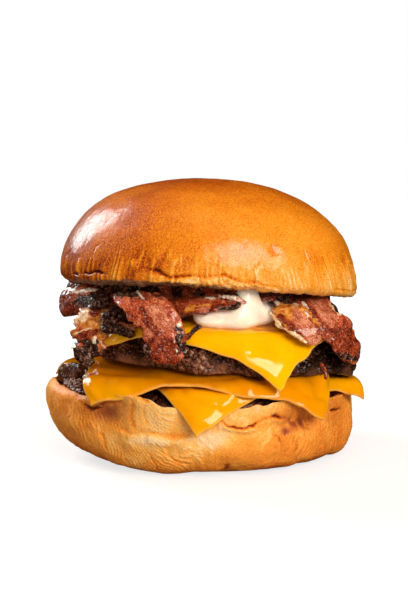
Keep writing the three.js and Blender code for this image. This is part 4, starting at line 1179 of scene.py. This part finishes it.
# Each rasher's layer says if it lies on the slice or on other rashers. Then come its wave and how many
# waves, how blunt its tips are, how ragged it is, and how charred along its edges and at its two tips.
# bites pull an edge in or push it out: a place along, an edge from -1 to 1, how far and over what share
# of the length. stripes run along it: a share, a place across from -1 to 1 and a width. route has
# points along its middle, the way its face looks there, and its width. spots are seen from the front:
# a share, its x and z, width and height, and tilt.
RASHERS = {
    "bacon_front": dict(
        layer=0, wave=0.6, waves=5, tip=0.9, ragged=0.45, char_edge=0.3, char_tips=(0.6, 0.6),
        bites=[(0.93, 1, 1.0, 0.04), (0.75, 1, -1.0, 0.05)],
        stripes=[],
        route=[
            (-16, 51, 41, 0, 0.8, 0.6, 15), (-15, 43, 46.5, 0, 0.4, 0.9, 17), (-13, 24, 49, 0, 0, 1, 17),
            (-11, -2, 50.5, 0, 0, 1, 17), (-14, -24, 54.6, -0.1, 0, 1, 17),
            (-19.5, -38, 57, 0, -0.4, 0.9, 15), (-16.2, -45.6, 54, 0, -0.85, 0.5, 13),
            (-11.9, -48.4, 49.4, -0.1, -0.95, 0.3, 13), (-9.9, -49.6, 43.7, 0, -0.99, 0.1, 12.6),
            (-9.2, -49.8, 36.6, 0, -1, 0.02, 11.2),
        ],
        spots=[
            # The two charred spots high up under the crown are partly char and partly painted shade.
            ("pink", -12.5, 49.5, 4.4, 5.0, -40), ("charred", -22.5, 57.4, 6.0, 1.9, -12),
            ("charred", -15.5, 58.0, 4.0, 1.2, -20), ("smeared", -18.2, 56.4, 1.8, 0.3, -35),
            ("smeared", -16.0, 58.0, 2.4, 0.35, 10), ("deep", -15.2, 49.6, 1.2, 4.0, 35),
            ("deep", -10.6, 41.0, 4.8, 4.6, 0), ("deep", -12.2, 46.6, 1.2, 0.9, 0),
            ("charred", -4.8, 43.0, 1.4, 4.8, 20), ("charred", -15.2, 39.6, 1.0, 3.4, 0),
            ("charred", -10.0, 36.0, 4.5, 0.9, 0), ("smeared", -6.6, 41.4, 0.25, 0.8, 20),
            ("smeared", -7.2, 43.9, 0.25, 0.6, -30),
        ],
    ),
    "bacon_right_wide": dict(
        layer=0, wave=0.7, waves=5, tip=0.8, ragged=0.6, char_edge=0.3, char_tips=(0.6, 0.3),
        bites=[],
        stripes=[],
        route=[
            (43, 33, 38, 0.6, 0.6, 0.5, 14), (37, 27, 45, 0.3, 0.3, 0.9, 17), (34, 12, 47, 0.1, 0, 1, 18),
            (34, -6, 50.5, 0.1, 0, 1, 17), (33.5, -19, 54.4, 0.1, -0.3, 0.93, 14),
            (36.6, -26.5, 53.4, 0.3, -0.6, 0.75, 13.2), (40.2, -31, 49.2, 0.35, -0.75, 0.55, 12.8),
            (45.4, -32, 43.8, 0.4, -0.78, 0.5, 13.4), (48.4, -30, 39.6, 0.45, -0.75, 0.45, 12.5),
            (52, -27, 37, 0.45, -0.75, 0.45, 9),
        ],
        spots=[
            ("pink", 40, 49.4, 5.0, 2.0, -48), ("deep", 36.5, 49.0, 0.8, 5.0, 40),
            ("deep", 45.4, 40.8, 7.4, 4.8, -30), ("charred", 39.2, 41.0, 1.2, 1.6, 0),
            ("charred", 51.9, 42.0, 1.0, 3.0, 30), ("fat", 43.9, 50.8, 0.9, 2.2, 48),
            ("charred", 47.4, 36.4, 4, 0.8, -20), ("smeared", 33.8, 52.0, 0.35, 1.1, 40),
            ("smeared", 31.4, 54.6, 0.6, 0.5, 0),
        ],
    ),
    "bacon_middle": dict(
        layer=0, wave=0.5, waves=3, tip=0.6, ragged=0.6, char_edge=0.5, char_tips=(0.5, 0.5),
        bites=[],
        stripes=[("deep", -0.6, 0.3)],
        route=[
            (13.2, -41, 55.3, 0.1, -0.62, 0.78, 6), (4, -39.9, 54.6, 0, -0.6, 0.8, 8),
            (-4, -38.6, 53.5, 0, -0.6, 0.8, 9.6), (-14, -36.2, 52.6, 0, -0.5, 0.86, 10),
        ],
        spots=[
            # The deep spot at the left end is painted shade under the crown.
            ("deep", -4.0, 55.2, 4.0, 1.3, 8), ("amber", -2.4, 52.2, 2.2, 0.6, 12),
            ("amber", 2.0, 53.4, 2.2, 0.4, 10), ("pink", 2.0, 52.6, 3.0, 0.5, 8),
            ("smeared", 3.4, 55.6, 2.2, 0.4, 0),
        ],
    ),
    "bacon_right_fatty": dict(
        layer=0, wave=0.6, waves=5, tip=0.8, ragged=0.6, char_edge=0.12, char_tips=(0.6, 0.1),
        bites=[(0.93, -1, -1.5, 0.05)],
        stripes=[("amber", -0.6, 0.5)],
        route=[
            (8, 51, 40, 0, 0.8, 0.6, 14), (8, 43, 46, 0, 0.5, 0.86, 15), (10, 24, 48, 0, 0, 1, 16),
            (16, -2, 49, 0, 0, 1, 14), (26, -23, 50, 0, -0.3, 0.95, 12),
            (28, -36, 53, 0.2, -0.75, 0.65, 10), (31, -41, 49.7, 0.25, -0.9, 0.4, 9.6),
            (34.8, -43, 45.9, 0.3, -0.94, 0.2, 9), (37.4, -42.6, 42.6, 0.3, -0.95, 0.05, 6),
        ],
        spots=[
            ("amber", 25.0, 50.5, 5, 5, -45), ("deep", 26.6, 49.0, 3.4, 0.8, -42),
            ("pink", 33.2, 46.6, 2.6, 6.5, 42), ("deep", 30.4, 45.8, 0.5, 5.0, 42),
            ("deep", 37.0, 46.4, 0.5, 5.0, 40), ("charred", 22.0, 54.2, 2.5, 1.4, 0),
            ("smeared", 24.6, 53.4, 0.8, 0.4, -30), ("smeared", 30.0, 53.4, 1.0, 0.5, -25),
            ("smeared", 33.8, 50.8, 0.9, 0.35, -45),
        ],
    ),
    "bacon_left_curl": dict(
        layer=1, wave=0.3, waves=3, tip=0.95, ragged=0.5, char_edge=0.5, char_tips=(0.1, 0.6),
        bites=[],
        stripes=[("deep", 0.7, 0.4)],
        route=[
            (-46.4, -13, 51.4, -0.45, -0.86, 0.2, 8.8), (-38.4, -20.5, 53.6, -0.45, -0.86, 0.25, 10),
            (-33, -24.6, 54.8, -0.4, -0.75, 0.55, 9), (-29, -23.6, 55, -0.2, -0.5, 0.85, 8),
        ],
        spots=[
            ("deep", -42.5, 52.4, 4.4, 3.4, 0), ("charred", -36, 53.8, 4.5, 1.6, 15),
            ("fat", -42, 56.8, 2.4, 0.5, 0), ("charred", -33.5, 52.5, 3.5, 3, 0),
            ("smeared", -40.6, 56.4, 2.0, 0.6, -20), ("smeared", -35.2, 56.6, 2.6, 0.6, 8),
        ],
    ),
    "bacon_left_fatty": dict(
        layer=0, wave=0.7, waves=5, tip=0.7, ragged=1.2, char_edge=0.4, char_tips=(0.6, 0.9),
        bites=[(0.62, 1, 1.5, 0.05), (0.8, -1, 1.2, 0.04)],
        stripes=[("amber", -0.3, 0.5)],
        route=[
            (-36, 41, 37, -0.3, 0.8, 0.6, 14), (-33, 33, 44, 0, 0.4, 0.9, 16),
            (-31, 20, 47, -0.12, 0, 1, 17), (-29.5, -4, 48, -0.12, 0, 1, 16),
            (-29, -19, 50, -0.2, -0.2, 0.96, 13), (-33, -28, 49.4, -0.3, -0.75, 0.6, 12),
            (-35.3, -31, 46.4, -0.3, -0.9, 0.3, 12.5), (-34.9, -32, 41.6, -0.3, -0.94, 0.1, 11.5),
            (-36.2, -31.4, 34.6, -0.3, -0.95, 0.0, 6.5),
        ],
        spots=[
            ("amber", -37.6, 47.8, 5, 3.2, 10), ("fat", -40.0, 47.4, 1.6, 1.4, 0),
            ("fat", -36.0, 48.3, 1.6, 1.1, 30), ("deep", -35.5, 43.4, 4.4, 1.4, 20),
            ("fat", -36.4, 44.8, 3.4, 0.3, 18), ("deep", -33.5, 50.5, 1.6, 2.4, 0),
            ("charred", -35.6, 38.2, 5, 3.4, 0), ("smeared", -36.2, 51.2, 1.2, 0.6, 10),
            ("smeared", -32.8, 42.0, 0.4, 1.2, -10),
        ],
    ),
    "bacon_left_dark": dict(
        layer=0, wave=0.6, waves=3, tip=0.5, ragged=0.9, char_edge=0.9, char_tips=(0.8, 0.8),
        bites=[],
        stripes=[],
        route=[
            (-17, -16, 50, 0, 0, 1, 10), (-22, -28, 51.6, 0, -0.5, 0.86, 11),
            (-24.6, -35, 49.2, -0.1, -0.9, 0.4, 13), (-25.4, -37.4, 44.4, -0.1, -0.95, 0.2, 10),
        ],
        spots=[
            ("charred", -24.5, 49, 8, 6, 0), ("amber", -29.0, 52.0, 1.3, 1.0, 0),
            ("deep", -22.6, 51.0, 1.6, 1.0, 0), ("smeared", -27.6, 53.4, 0.8, 0.4, -60),
            ("pink", -20.4, 46.4, 3.4, 0.6, -14),
        ],
    ),
    "bacon_back": dict(
        layer=1.3, wave=0.35, waves=5, tip=0.8, ragged=0.8, char_edge=0.5, char_tips=(0.6, 0.6),
        bites=[],
        stripes=[("fat", -0.5, 0.2), ("amber", 0.4, 0.2)],
        route=[
            (-47, 19, 45.5, -0.8, 0.2, 0.5, 13), (-39, 21, 51.6, -0.4, 0.2, 0.9, 16),
            (-20, 24, 53.8, 0, 0.2, 0.97, 18), (2, 25, 53.4, 0, 0.24, 0.97, 19),
            (24, 23, 52.4, 0.1, 0.2, 0.97, 18), (41, 17, 50.6, 0.4, 0.2, 0.9, 15),
            (49, 12, 45.5, 0.8, 0.2, 0.5, 11),
        ],
        spots=[],
    ),
}
# The shares of a rasher that its material paints.
BACON_SHARES = ("pink", "deep", "amber", "fat", "charred", "smeared")


def spot(p, x, z, wide, high, tilt, seed):
    """1 inside an oval seen from the front, 0 outside, with a wandering border. tilt is in degrees."""
    turn = math.radians(tilt)
    dx, dz = p[..., 0] - x, p[..., 2] - z
    along = dx * math.cos(turn) + dz * math.sin(turn)
    across = dz * math.cos(turn) - dx * math.sin(turn)
    wander = 0.45 * noise(p, 2.2, 400 + seed) + 0.3 * noise(p, 0.9, 401 + seed)
    return step(1.4, 0.7, np.hypot(along / wide, across / high) + wander) * (p[..., 1] < SPOTS_END_Y)


def along_route(route, places):
    """The middle of a ribbon's route at the places along it, with its unit side and face there."""
    stops = np.asarray(route, float)
    looks = stops[:, 3:6] / np.linalg.norm(stops[:, 3:6], axis=1, keepdims=True)
    ends = np.linspace(0, 1, RIBBON_STEPS)
    path = smooth_path(stops[:, :3], ends)
    tangents = np.gradient(path, axis=0)
    tangents = tangents / np.linalg.norm(tangents, axis=1, keepdims=True)

    def read(values):
        """Values given step by step along the route, read at the places."""
        return np.stack([np.interp(places, ends, values[:, i]) for i in range(3)], -1)

    centre, tangent = read(path), read(tangents)
    side = np.cross(tangent, read(smooth_path(looks, ends)))
    side = side / np.linalg.norm(side, axis=-1, keepdims=True)
    return centre, side, np.cross(side, tangent)


def ribbon(route, thick, seed, tip, wave, waves, ragged, ruffle, bites, fine):
    """A wavy ribbon carried along a route. Its long edges and ends are ragged and ruffled, and bites
    are taken from its edges. Gives the grid with its distance along and across, its length, and how
    far each point is from an edge."""
    stops = np.asarray(route, float)
    ends = np.linspace(0, 1, RIBBON_STEPS)
    length = np.linalg.norm(np.diff(smooth_path(stops[:, :3], ends), axis=0), axis=1).sum()
    wide = stops[:, 6].mean()
    width = smooth_path(np.repeat(stops[:, 6:7], 3, 1), ends)[:, 0]
    t, across = np.meshgrid(
        edge_places(length, thick, fine), edge_places(wide, thick, fine), indexing="ij"
    )
    # Ragged ends: the ribbon is stretched or shortened along lines that run its length.
    off = 2 * across - 1
    reach_end = layered(on_line(8 * off), 5, 3, seed + 20) * ragged * 1.3 / length
    at_ends = (step(0.15, 0, t) - step(0.85, 1, t)) * from_ends(t) * 20
    centre, side, face = along_route(route, clamp01(t + reach_end * at_ends))
    end = from_ends(t) / 0.08
    taper = mix(1 - tip, 1, np.sqrt(clamp01(end * (2 - np.minimum(end, 1)))))
    run = t * length
    edge_side = np.sign(off)
    edge_line = xyz(run, 10 * edge_side, 0 * run)
    torn = layered(edge_line, 5.5, 4, seed) * ragged
    torn = torn - ragged * power(noise(edge_line, 2.4, seed + 21) - 0.25, 1.0) * 2.2
    for place, edge, far, spread in bites:
        torn = torn + far * bell(t - place, spread) * (np.sign(edge) == edge_side)
    reach = 0.5 * off * np.interp(t, ends, width) * taper
    reach = reach + torn * np.abs(off) ** 2.5 * edge_side * clamp01(taper * 1.2)
    lift = wave * np.sin(waves * 2 * math.pi * t + 2.2 * across) * off * np.sin(math.pi * t)
    curl = np.sin(run * 2 * math.pi / 8.5 + 2.5 * noise(on_line(run), 20, seed + 4))
    lift = lift + ruffle * curl * off**2 * np.sign(off + 0.4)
    middle = centre + side * reach[..., None] + face * (lift - RASHER_CUP * reach**2)[..., None]
    rim = np.minimum(from_ends(t) * length, from_ends(across) * wide * clamp01(taper))
    return middle, run, off, length, rim


def rasher_shares(cut, middle, run, off, length, rim, seed):
    """How a rasher is coloured: its stripes, dark patches, charred edges and tips, then its spots, each
    of which takes the place of what was there."""
    shares = {key: 0.0 * run for key in BACON_SHARES}
    ripple = noise(on_line(run), 16, seed + 8)
    for key, place, wide in cut["stripes"]:
        shares[key] = shares[key] + 1.2 * bell(off - place - 0.2 * ripple, wide)
    patchy = noise(middle, 2.6, seed + 9) + 0.5 * noise(middle, 1.1, seed + 10)
    shares["deep"] = shares["deep"] + 0.6 * step(0.0, 0.9, noise(middle, 5, seed + 11) + 0.3 * patchy)
    shares["charred"] = shares["charred"] + cut["char_edge"] * step(1.9, 0.2, rim + 0.7 * patchy)
    for strength, away in zip(cut["char_tips"], (run, length - run)):
        shares["charred"] = shares["charred"] + strength * step(8, 1, away + 2.5 * patchy)
    for i, (key, *oval_spot) in enumerate(cut["spots"]):
        mark = spot(middle, *oval_spot, i)
        for other in shares:
            shares[other] = shares[other] * (1 - mark)
        shares[key] = shares[key] + mark
    return shares


def rasher(name, cut, seed):
    """A rasher of bacon, kept above the slice. Crisp and charred parts are gritty with packed grains,
    the rest is blistered, and smears of sauce lie on it."""
    shape = {key: cut[key] for key in ("route", "tip", "wave", "waves", "ragged", "bites")}
    middle, run, off, length, rim = ribbon(**shape, thick=RASHER, seed=seed, ruffle=0.3, fine=0.34)
    inside = np.hypot(middle[..., 0] - UPPER_PATTY["x"], middle[..., 1]) < FOLD["upper"]
    lies = patty_top(UPPER_PATTY, middle[..., 0], middle[..., 1]) + SLICE + RASHER / 2 + 2.5 * GAP
    lies = lies + cut["layer"] * (RASHER + GAP)
    middle[..., 2] = np.where(inside, np.maximum(middle[..., 2], lies), middle[..., 2])
    shares = rasher_shares(cut, middle, run, off, length, rim, seed)
    gritty = clamp01(shares["charred"] + 0.6 * shares["deep"])
    near, _, _ = grains(middle, 1.05, seed + 12)
    relief = 0.22 * noise(middle, 4.5, seed + 5) + 0.07 * noise(middle, 1.3, seed + 6)
    relief = relief + gritty * 0.35 * (0.5 - near**2 * 1.3)
    middle = middle + facing(middle, False) * relief[..., None]
    plump = 0.75 + 0.6 * step(0.4, 3.0, rim) + 0.2 * noise(middle, 5, seed + 7)
    half = rounded(rim, RASHER * 0.6) * plump
    half = half + 0.22 * shares["smeared"] * step(0.3, 1.2, rim)
    shades = {key: clamp01(share) for key, share in shares.items()}
    shades.update(along=run, across=off * length / 8)
    thick_sheet(name + "_rasher", middle, half, BACON, "bacon", [name], shades)


# ---- Scraps and drops ------------------------------------------------------------------------------


def scrap(name, finish, slot, seed, thick, ragged, shares, route):
    """A small ragged ribbon: a torn edge, a smear or a drip."""
    middle, run, off, length, rim = ribbon(
        route, thick, seed, tip=0.9, wave=0, waves=1, ragged=ragged, ruffle=0.1, bites=(), fine=0.3
    )
    near, _, _ = grains(middle, 1.1, seed + 12)
    relief = 0.12 * noise(middle, 2.2, seed + 5) + 0.3 * (0.4 - near**2) * min(1.0, sum(shares.values()))
    middle = middle + facing(middle, False) * relief[..., None]
    half = rounded(rim, thick) * (1 + 0.2 * noise(middle, 3, seed + 7))
    patchy = 1 + 0.9 * noise(middle, 3.4, seed + 9) + 0.5 * noise(middle, 1.4, seed + 10)
    shades = {key: clamp01(share * patchy) for key, share in shares.items()}
    shades.update(along=run, across=off * length / 8)
    thick_sheet(name, middle, half, finish, slot, shades=shades)


def blobs(name, finish, slot, seed, places):
    """Drops and crumbs in one mesh: each a small ball at a place with its radius, pushed in and out by
    noise and flattened a little."""
    around, up = 14, 9
    angle = np.linspace(0, 2 * math.pi, around, endpoint=False)
    tilt = np.linspace(0, math.pi, up)[1:-1]
    out = np.sin(tilt)[:, None]
    ring = xyz(out * np.cos(angle), out * np.sin(angle), np.cos(tilt)[:, None])
    ball = np.concatenate([[(0, 0, 1)], ring.reshape(-1, 3), [(0, 0, -1)]])
    at = 1 + np.arange((up - 2) * around).reshape(up - 2, around)
    nxt = np.roll(at, -1, 1)
    quads = np.stack([at[:-1], at[1:], nxt[1:], nxt[:-1]], -1).reshape(-1, 4)
    last = len(ball) - 1
    caps = np.concatenate([
        np.stack([0 * at[0], at[0], nxt[0]], -1), np.stack([last + 0 * at[0], nxt[-1], at[-1]], -1)
    ])
    places = np.asarray(places, float)
    centre, radius = places[:, None, :3], places[:, None, 3:]
    points = centre + ball * radius * (1, 0.7, 0.9)
    swell = 1 + 0.3 * noise(points / radius, 1.2, seed)
    points = (centre + (points - centre) * swell[..., None]).reshape(-1, 3)
    shift = (np.arange(len(places)) * len(ball))[:, None, None]
    quads, caps = (quads + shift).reshape(-1, 4), (caps + shift).reshape(-1, 3)
    make_piece(name, points, quads, finish, slot, tris=caps)


# ---- Sauce -----------------------------------------------------------------------------------------

SAUCE_POOL = dict(x=11, y=-29, z=49.8, half_width=13.2, half_depth=14, half_height=4.5)
# The column of sauce that stands up to the crown.
SAUCE_COLUMN = dict(x=15.4, y=-37.5, width=3.7, depth=3.0, top=59.4)


def sauce():
    """A lobed, flattened ball of sauce between the upper slice and the crown, drawn up in a column."""
    s, column = SAUCE_POOL, SAUCE_COLUMN
    v, angle = round_grid(np.linspace(0, 1, 70), 180)
    t = v * math.pi
    flat = power(np.sin(t), 0.65)
    lobes = 1 + 0.08 * np.cos(3 * angle + 0.6) + 0.05 * np.cos(5 * angle)
    lobes = lobes + 0.14 * bell(degrees_between(np.degrees(angle), -128), 20) * step(0.5, -0.2, np.cos(t))
    grid = xyz(
        s["x"] + s["half_width"] * lobes * flat * np.cos(angle),
        s["y"] + s["half_depth"] * lobes * flat * np.sin(angle),
        s["z"] + s["half_height"] * np.cos(t) + 0.8 * np.cos(2 * angle) * flat,
    )
    beside = bell(grid[..., 0] - column["x"], column["width"])
    beside = 1.9 * beside * bell(grid[..., 1] - column["y"], column["depth"])
    rise = clamp01(beside) * step(-0.3, 0.5, np.cos(t))
    grid[..., 2] = grid[..., 2] + rise * np.maximum(0, column["top"] - grid[..., 2])
    grid = pushed_out(grid, 0.35 * noise(grid, 6, 90) + 0.12 * noise(grid, 2.4, 91))
    close_poles(grid)
    skin("sauce_pool", grid, CREAM, "sauce", ["sauce"])


# ---- The burger ------------------------------------------------------------------------------------

BEEF = grilled_beef()
CHEESE = melted_cheese()
CREAM = cream_sauce()

crown()
heel()
patty("lower_patty", LOWER_PATTY, "patty_lower", False, 50)
patty("upper_patty", UPPER_PATTY, "patty_upper", True, 70)
cheese_slice("under_slice", UNDER_SLICE, LOWER_PATTY, "cheese_lower_under", 100)
cheese_slice("over_slice", OVER_SLICE, LOWER_PATTY, "cheese_lower_over", 120)
cheese_slice("upper_slice", UPPER_SLICE, UPPER_PATTY, "cheese_upper", 140)
sauce()

BACON = fried_bacon()

for i, (name, cut) in enumerate(RASHERS.items()):
    rasher(name, cut, 200 + 20 * i)

# Torn edges, smears and drips. A route is as in RASHERS.
SCRAPS = [
    dict(
        name="tucked_edge", finish=BACON, slot="bacon", seed=400, thick=1.6, ragged=0.7,
        # Its charred, deep colour is mostly painted shade: a dark strip that fills the gap under the crown.
        shares={"charred": 0.8, "deep": 0.5},
        route=[
            (-44, -6, 56.4, -0.9, -0.4, 0.2, 6), (-38, -16.5, 57.4, -0.6, -0.8, 0.2, 7),
            (-28, -23, 55.8, -0.4, -0.9, 0.2, 10.5), (-22, -28, 56.4, 0, -1, 0.2, 9),
            (-14, -30, 57.0, 0, -1, 0.2, 8), (0, -32, 56.8, 0, -1, 0.2, 8),
            (12, -31, 56.4, 0, -1, 0.2, 8), (24, -29, 55.8, 0.3, -0.9, 0.2, 7),
            (34, -22, 55.4, 0.6, -0.8, 0.2, 7), (42, -10, 54.6, 0.9, -0.4, 0.2, 6),
        ],
    ),
    dict(
        name="tucked_edge_back", finish=BACON, slot="bacon", seed=405, thick=1.6, ragged=0.7,
        shares={"charred": 0.5, "deep": 0.8},
        route=[
            (42, -10, 54.6, 0.9, -0.4, 0.2, 6), (44, 6, 53.4, 1, 0.1, 0.2, 7),
            (38, 22, 52.8, 0.8, 0.6, 0.2, 7), (24, 34, 52.4, 0.5, 0.9, 0.2, 7),
            (4, 40, 52.6, 0, 1, 0.2, 7), (-16, 37, 53.4, -0.3, 0.9, 0.2, 7),
            (-32, 27, 54.4, -0.7, 0.7, 0.2, 7.5), (-42, 10, 55.6, -1, 0.2, 0.2, 7.5),
            (-44, -6, 56.2, -0.9, -0.4, 0.2, 7),
        ],
    ),
    dict(
        name="crisp_twig", finish=BACON, slot="bacon", seed=410, thick=0.8, ragged=0.8,
        shares={"charred": 1.0},
        route=[
            (-5.0, -50.4, 43.6, 0, -1, 0.1, 2.2), (-4.0, -51.0, 45.6, 0, -1, 0.1, 2.4),
            (-2.2, -51.4, 46.8, 0, -1, 0.1, 1.2), (-1.2, -51.4, 48.0, 0, -1, 0.1, 1.3),
            (0.9, -51.2, 48.8, 0, -1, 0.1, 0.9),
        ],
    ),
    dict(
        name="crisp_corner", finish=BACON, slot="bacon", seed=417, thick=1.6, ragged=0.9,
        shares={"charred": 1.0},
        route=[
            (-38.4, -33.5, 40.0, 0, -1, 0.1, 4.0), (-36.0, -34.5, 37.0, 0, -1, 0.1, 5.0),
            (-34.2, -34.8, 34.6, 0, -1, 0.1, 2.5),
        ],
    ),
    dict(
        name="fat_fringe", finish=BACON, slot="bacon", seed=420, thick=0.4, ragged=0.9,
        shares={"fat": 0.6, "amber": 0.6},
        route=[
            (21.6, -42.6, 52.2, 0, -1, 0.1, 0.4), (23.8, -44.0, 49.4, 0, -1, 0.1, 0.6),
            (27.0, -45.2, 46.9, 0, -1, 0.1, 0.9), (30.2, -45.8, 44.6, 0, -1, 0.1, 0.8),
            (33.4, -45.4, 42.6, 0, -1, 0.1, 0.4),
        ],
    ),
    dict(
        name="sauce_smear_middle", finish=BACON, slot="sauce", seed=440, thick=0.7, ragged=0.7,
        shares={"smeared": 0.75},
        route=[
            (6.0, -40.8, 56.8, 0, -1, 0.3, 0.5), (8.8, -41.0, 56.6, 0, -1, 0.3, 1.5),
            (12.0, -41.2, 55.8, 0, -1, 0.3, 1.9), (15.0, -41.0, 54.8, 0, -1, 0.3, 1.4),
        ],
    ),
    dict(
        name="sauce_smear_corner", finish=BACON, slot="sauce", seed=445, thick=0.6, ragged=1.0,
        shares={"smeared": 0.7},
        route=[
            (-36.4, -38.2, 31.0, -0.4, -1, 0.1, 0.8), (-34.8, -39.0, 31.8, -0.4, -1, 0.2, 1.5),
            (-33.0, -39.6, 32.4, -0.4, -1, 0.2, 0.8), (-31.6, -40.2, 33.2, -0.4, -1, 0.2, 1.3),
        ],
    ),
    dict(
        name="mince_at_the_left", finish=BEEF, slot="beef", seed=450, thick=2.4, ragged=0.8,
        shares={"tone": 0.32},
        route=[
            (-39, -17, 28.5, -0.7, -0.7, 0.2, 5.8), (-43.4, -8, 27.6, -0.8, -0.6, 0.2, 6.4),
            (-47.8, 3, 25.1, -0.9, -0.4, 0.2, 6.0), (-48.2, 14, 25.0, -0.9, 0.2, 0.2, 5.0),
        ],
    ),
    dict(
        name="meat_drip_0", finish=BACON, slot="beef", seed=560, thick=0.9, ragged=0.4,
        shares={"deep": 1.0, "charred": 0.3},
        route=[
            (38.0, -43.6, 36.4, 0, -1, 0.1, 1.0), (39.3, -45.0, 33.8, 0, -1, 0.1, 1.3),
            (39.2, -45.6, 31.6, 0, -1, 0.1, 1.0),
        ],
    ),
]
for cut in SCRAPS:
    scrap(**cut)
blobs("sauce_drop", CREAM, "sauce", 600, [
    (-5.8, -51.0, 49.2, 0.85), (-35.4, -33.2, 51.4, 0.6), (-36.6, -33.0, 51.0, 0.5),
    (-40.2, -31.8, 39.4, 0.5),
])

# ---- Floor, light and camera -----------------------------------------------------------------------


def floor():
    """A wide pale floor, square, just under the burger. Part of its brightness is only for the eye, so
    that it stays pale away from the lamps without lighting the burger from below."""
    made, tree, surface = start_material("pale_floor", Roughness=0.9)
    surface.inputs["Base Color"].default_value = colour("#9a9a9a")
    surface.inputs["Emission Color"].default_value = (1, 1, 1, 1)
    seen = node(tree, "LightPath", output="Is Camera Ray")
    where = node(tree, "TexCoord", output="Object")
    away = node(tree, "VectorMath", {0: where}, "Value", operation="LENGTH")
    ranges = {"Value": away, "From Min": 0.08, "From Max": 0.5, "To Min": 0.74, "To Max": 0.97}
    spread = node(tree, "MapRange", ranges, "Result", interpolation_type="SMOOTHSTEP")
    strength = node(tree, "Math", {0: seen, 1: spread}, operation="MULTIPLY")
    plug(tree, surface.inputs["Emission Strength"], strength)
    half = 3.0
    mesh = bpy.data.meshes.new("floor")
    corners = [(-half, -half, 0), (half, -half, 0), (half, half, 0), (-half, half, 0)]
    mesh.from_pydata(corners, [], [(0, 1, 2, 3)])
    mesh.materials.append(made)
    ground = bpy.data.objects.new("floor", mesh)
    bpy.context.scene.collection.objects.link(ground)
    ground.visible_glossy = False


def softbox(name, place, size, watts, tint="#ffffff"):
    """A round softbox of a given size, at a place in millimetres, turned to the middle of the burger."""
    lamp = bpy.data.lights.new(name, "AREA")
    lamp.shape = "ELLIPSE"
    lamp.size, lamp.size_y = size[0] * MM, size[1] * MM
    lamp.energy = watts
    lamp.color = colour(tint)[:3]
    made = bpy.data.objects.new(name, lamp)
    bpy.context.scene.collection.objects.link(made)
    made.location = [c * MM for c in place]
    towards = Vector((0, 0, 0.05)) - made.location
    made.rotation_mode = "QUATERNION"
    made.rotation_quaternion = towards.to_track_quat("-Z", "Y")
    return made


def studio():
    """White surroundings, brighter to the eye than to the burger, and four softboxes, of which two only
    fill the shade: the one above and the low one at the left."""
    world = bpy.data.worlds.new("studio")
    bpy.context.scene.world = world
    world.use_nodes = True
    tree = world.node_tree
    back = tree.nodes["Background"]
    seen = node(tree, "LightPath", output="Is Camera Ray")
    tint = {SHARE: seen, FROM: colour("#fff0dc"), TO: colour("#ffffff")}
    plug(tree, back.inputs["Color"], node(tree, "Mix", tint, data_type="RGBA"))
    strength = node(tree, "Math", {0: seen, 1: 0.82, 2: 0.18}, operation="MULTIPLY_ADD")
    plug(tree, back.inputs["Strength"], strength)
    world.cycles_visibility.glossy = False
    softbox("softbox_front_right", (390, -670, 370), (640, 380), 6.9, "#fff3e4")
    softbox("softbox_back_left", (-420, 300, 330), (230, 380), 2.8)
    softbox("softbox_above", (60, -120, 700), (600, 600), 1.5, "#ffecd4").visible_glossy = False
    softbox("softbox_low_left", (-300, -620, 60), (500, 260), 0.8, "#ffeacc").visible_glossy = False
    bpy.context.scene.view_settings.view_transform = "Standard"


def camera():
    """A camera in front of the burger, a little above it and looking slightly down."""
    eye = bpy.data.cameras.new("camera")
    eye.sensor_fit = "AUTO"
    eye.sensor_width = 36
    eye.lens = 71.82
    made = bpy.data.objects.new("camera", eye)
    bpy.context.scene.collection.objects.link(made)
    down = math.radians(6.5)
    away = 420
    aim = (1.72, 0, 49.2)
    made.location = (aim[0] * MM, -away * math.cos(down) * MM, (aim[2] + away * math.sin(down)) * MM)
    made.rotation_euler = (math.pi / 2 - down, 0, 0)
    bpy.context.scene.camera = made


floor()
studio()
camera()
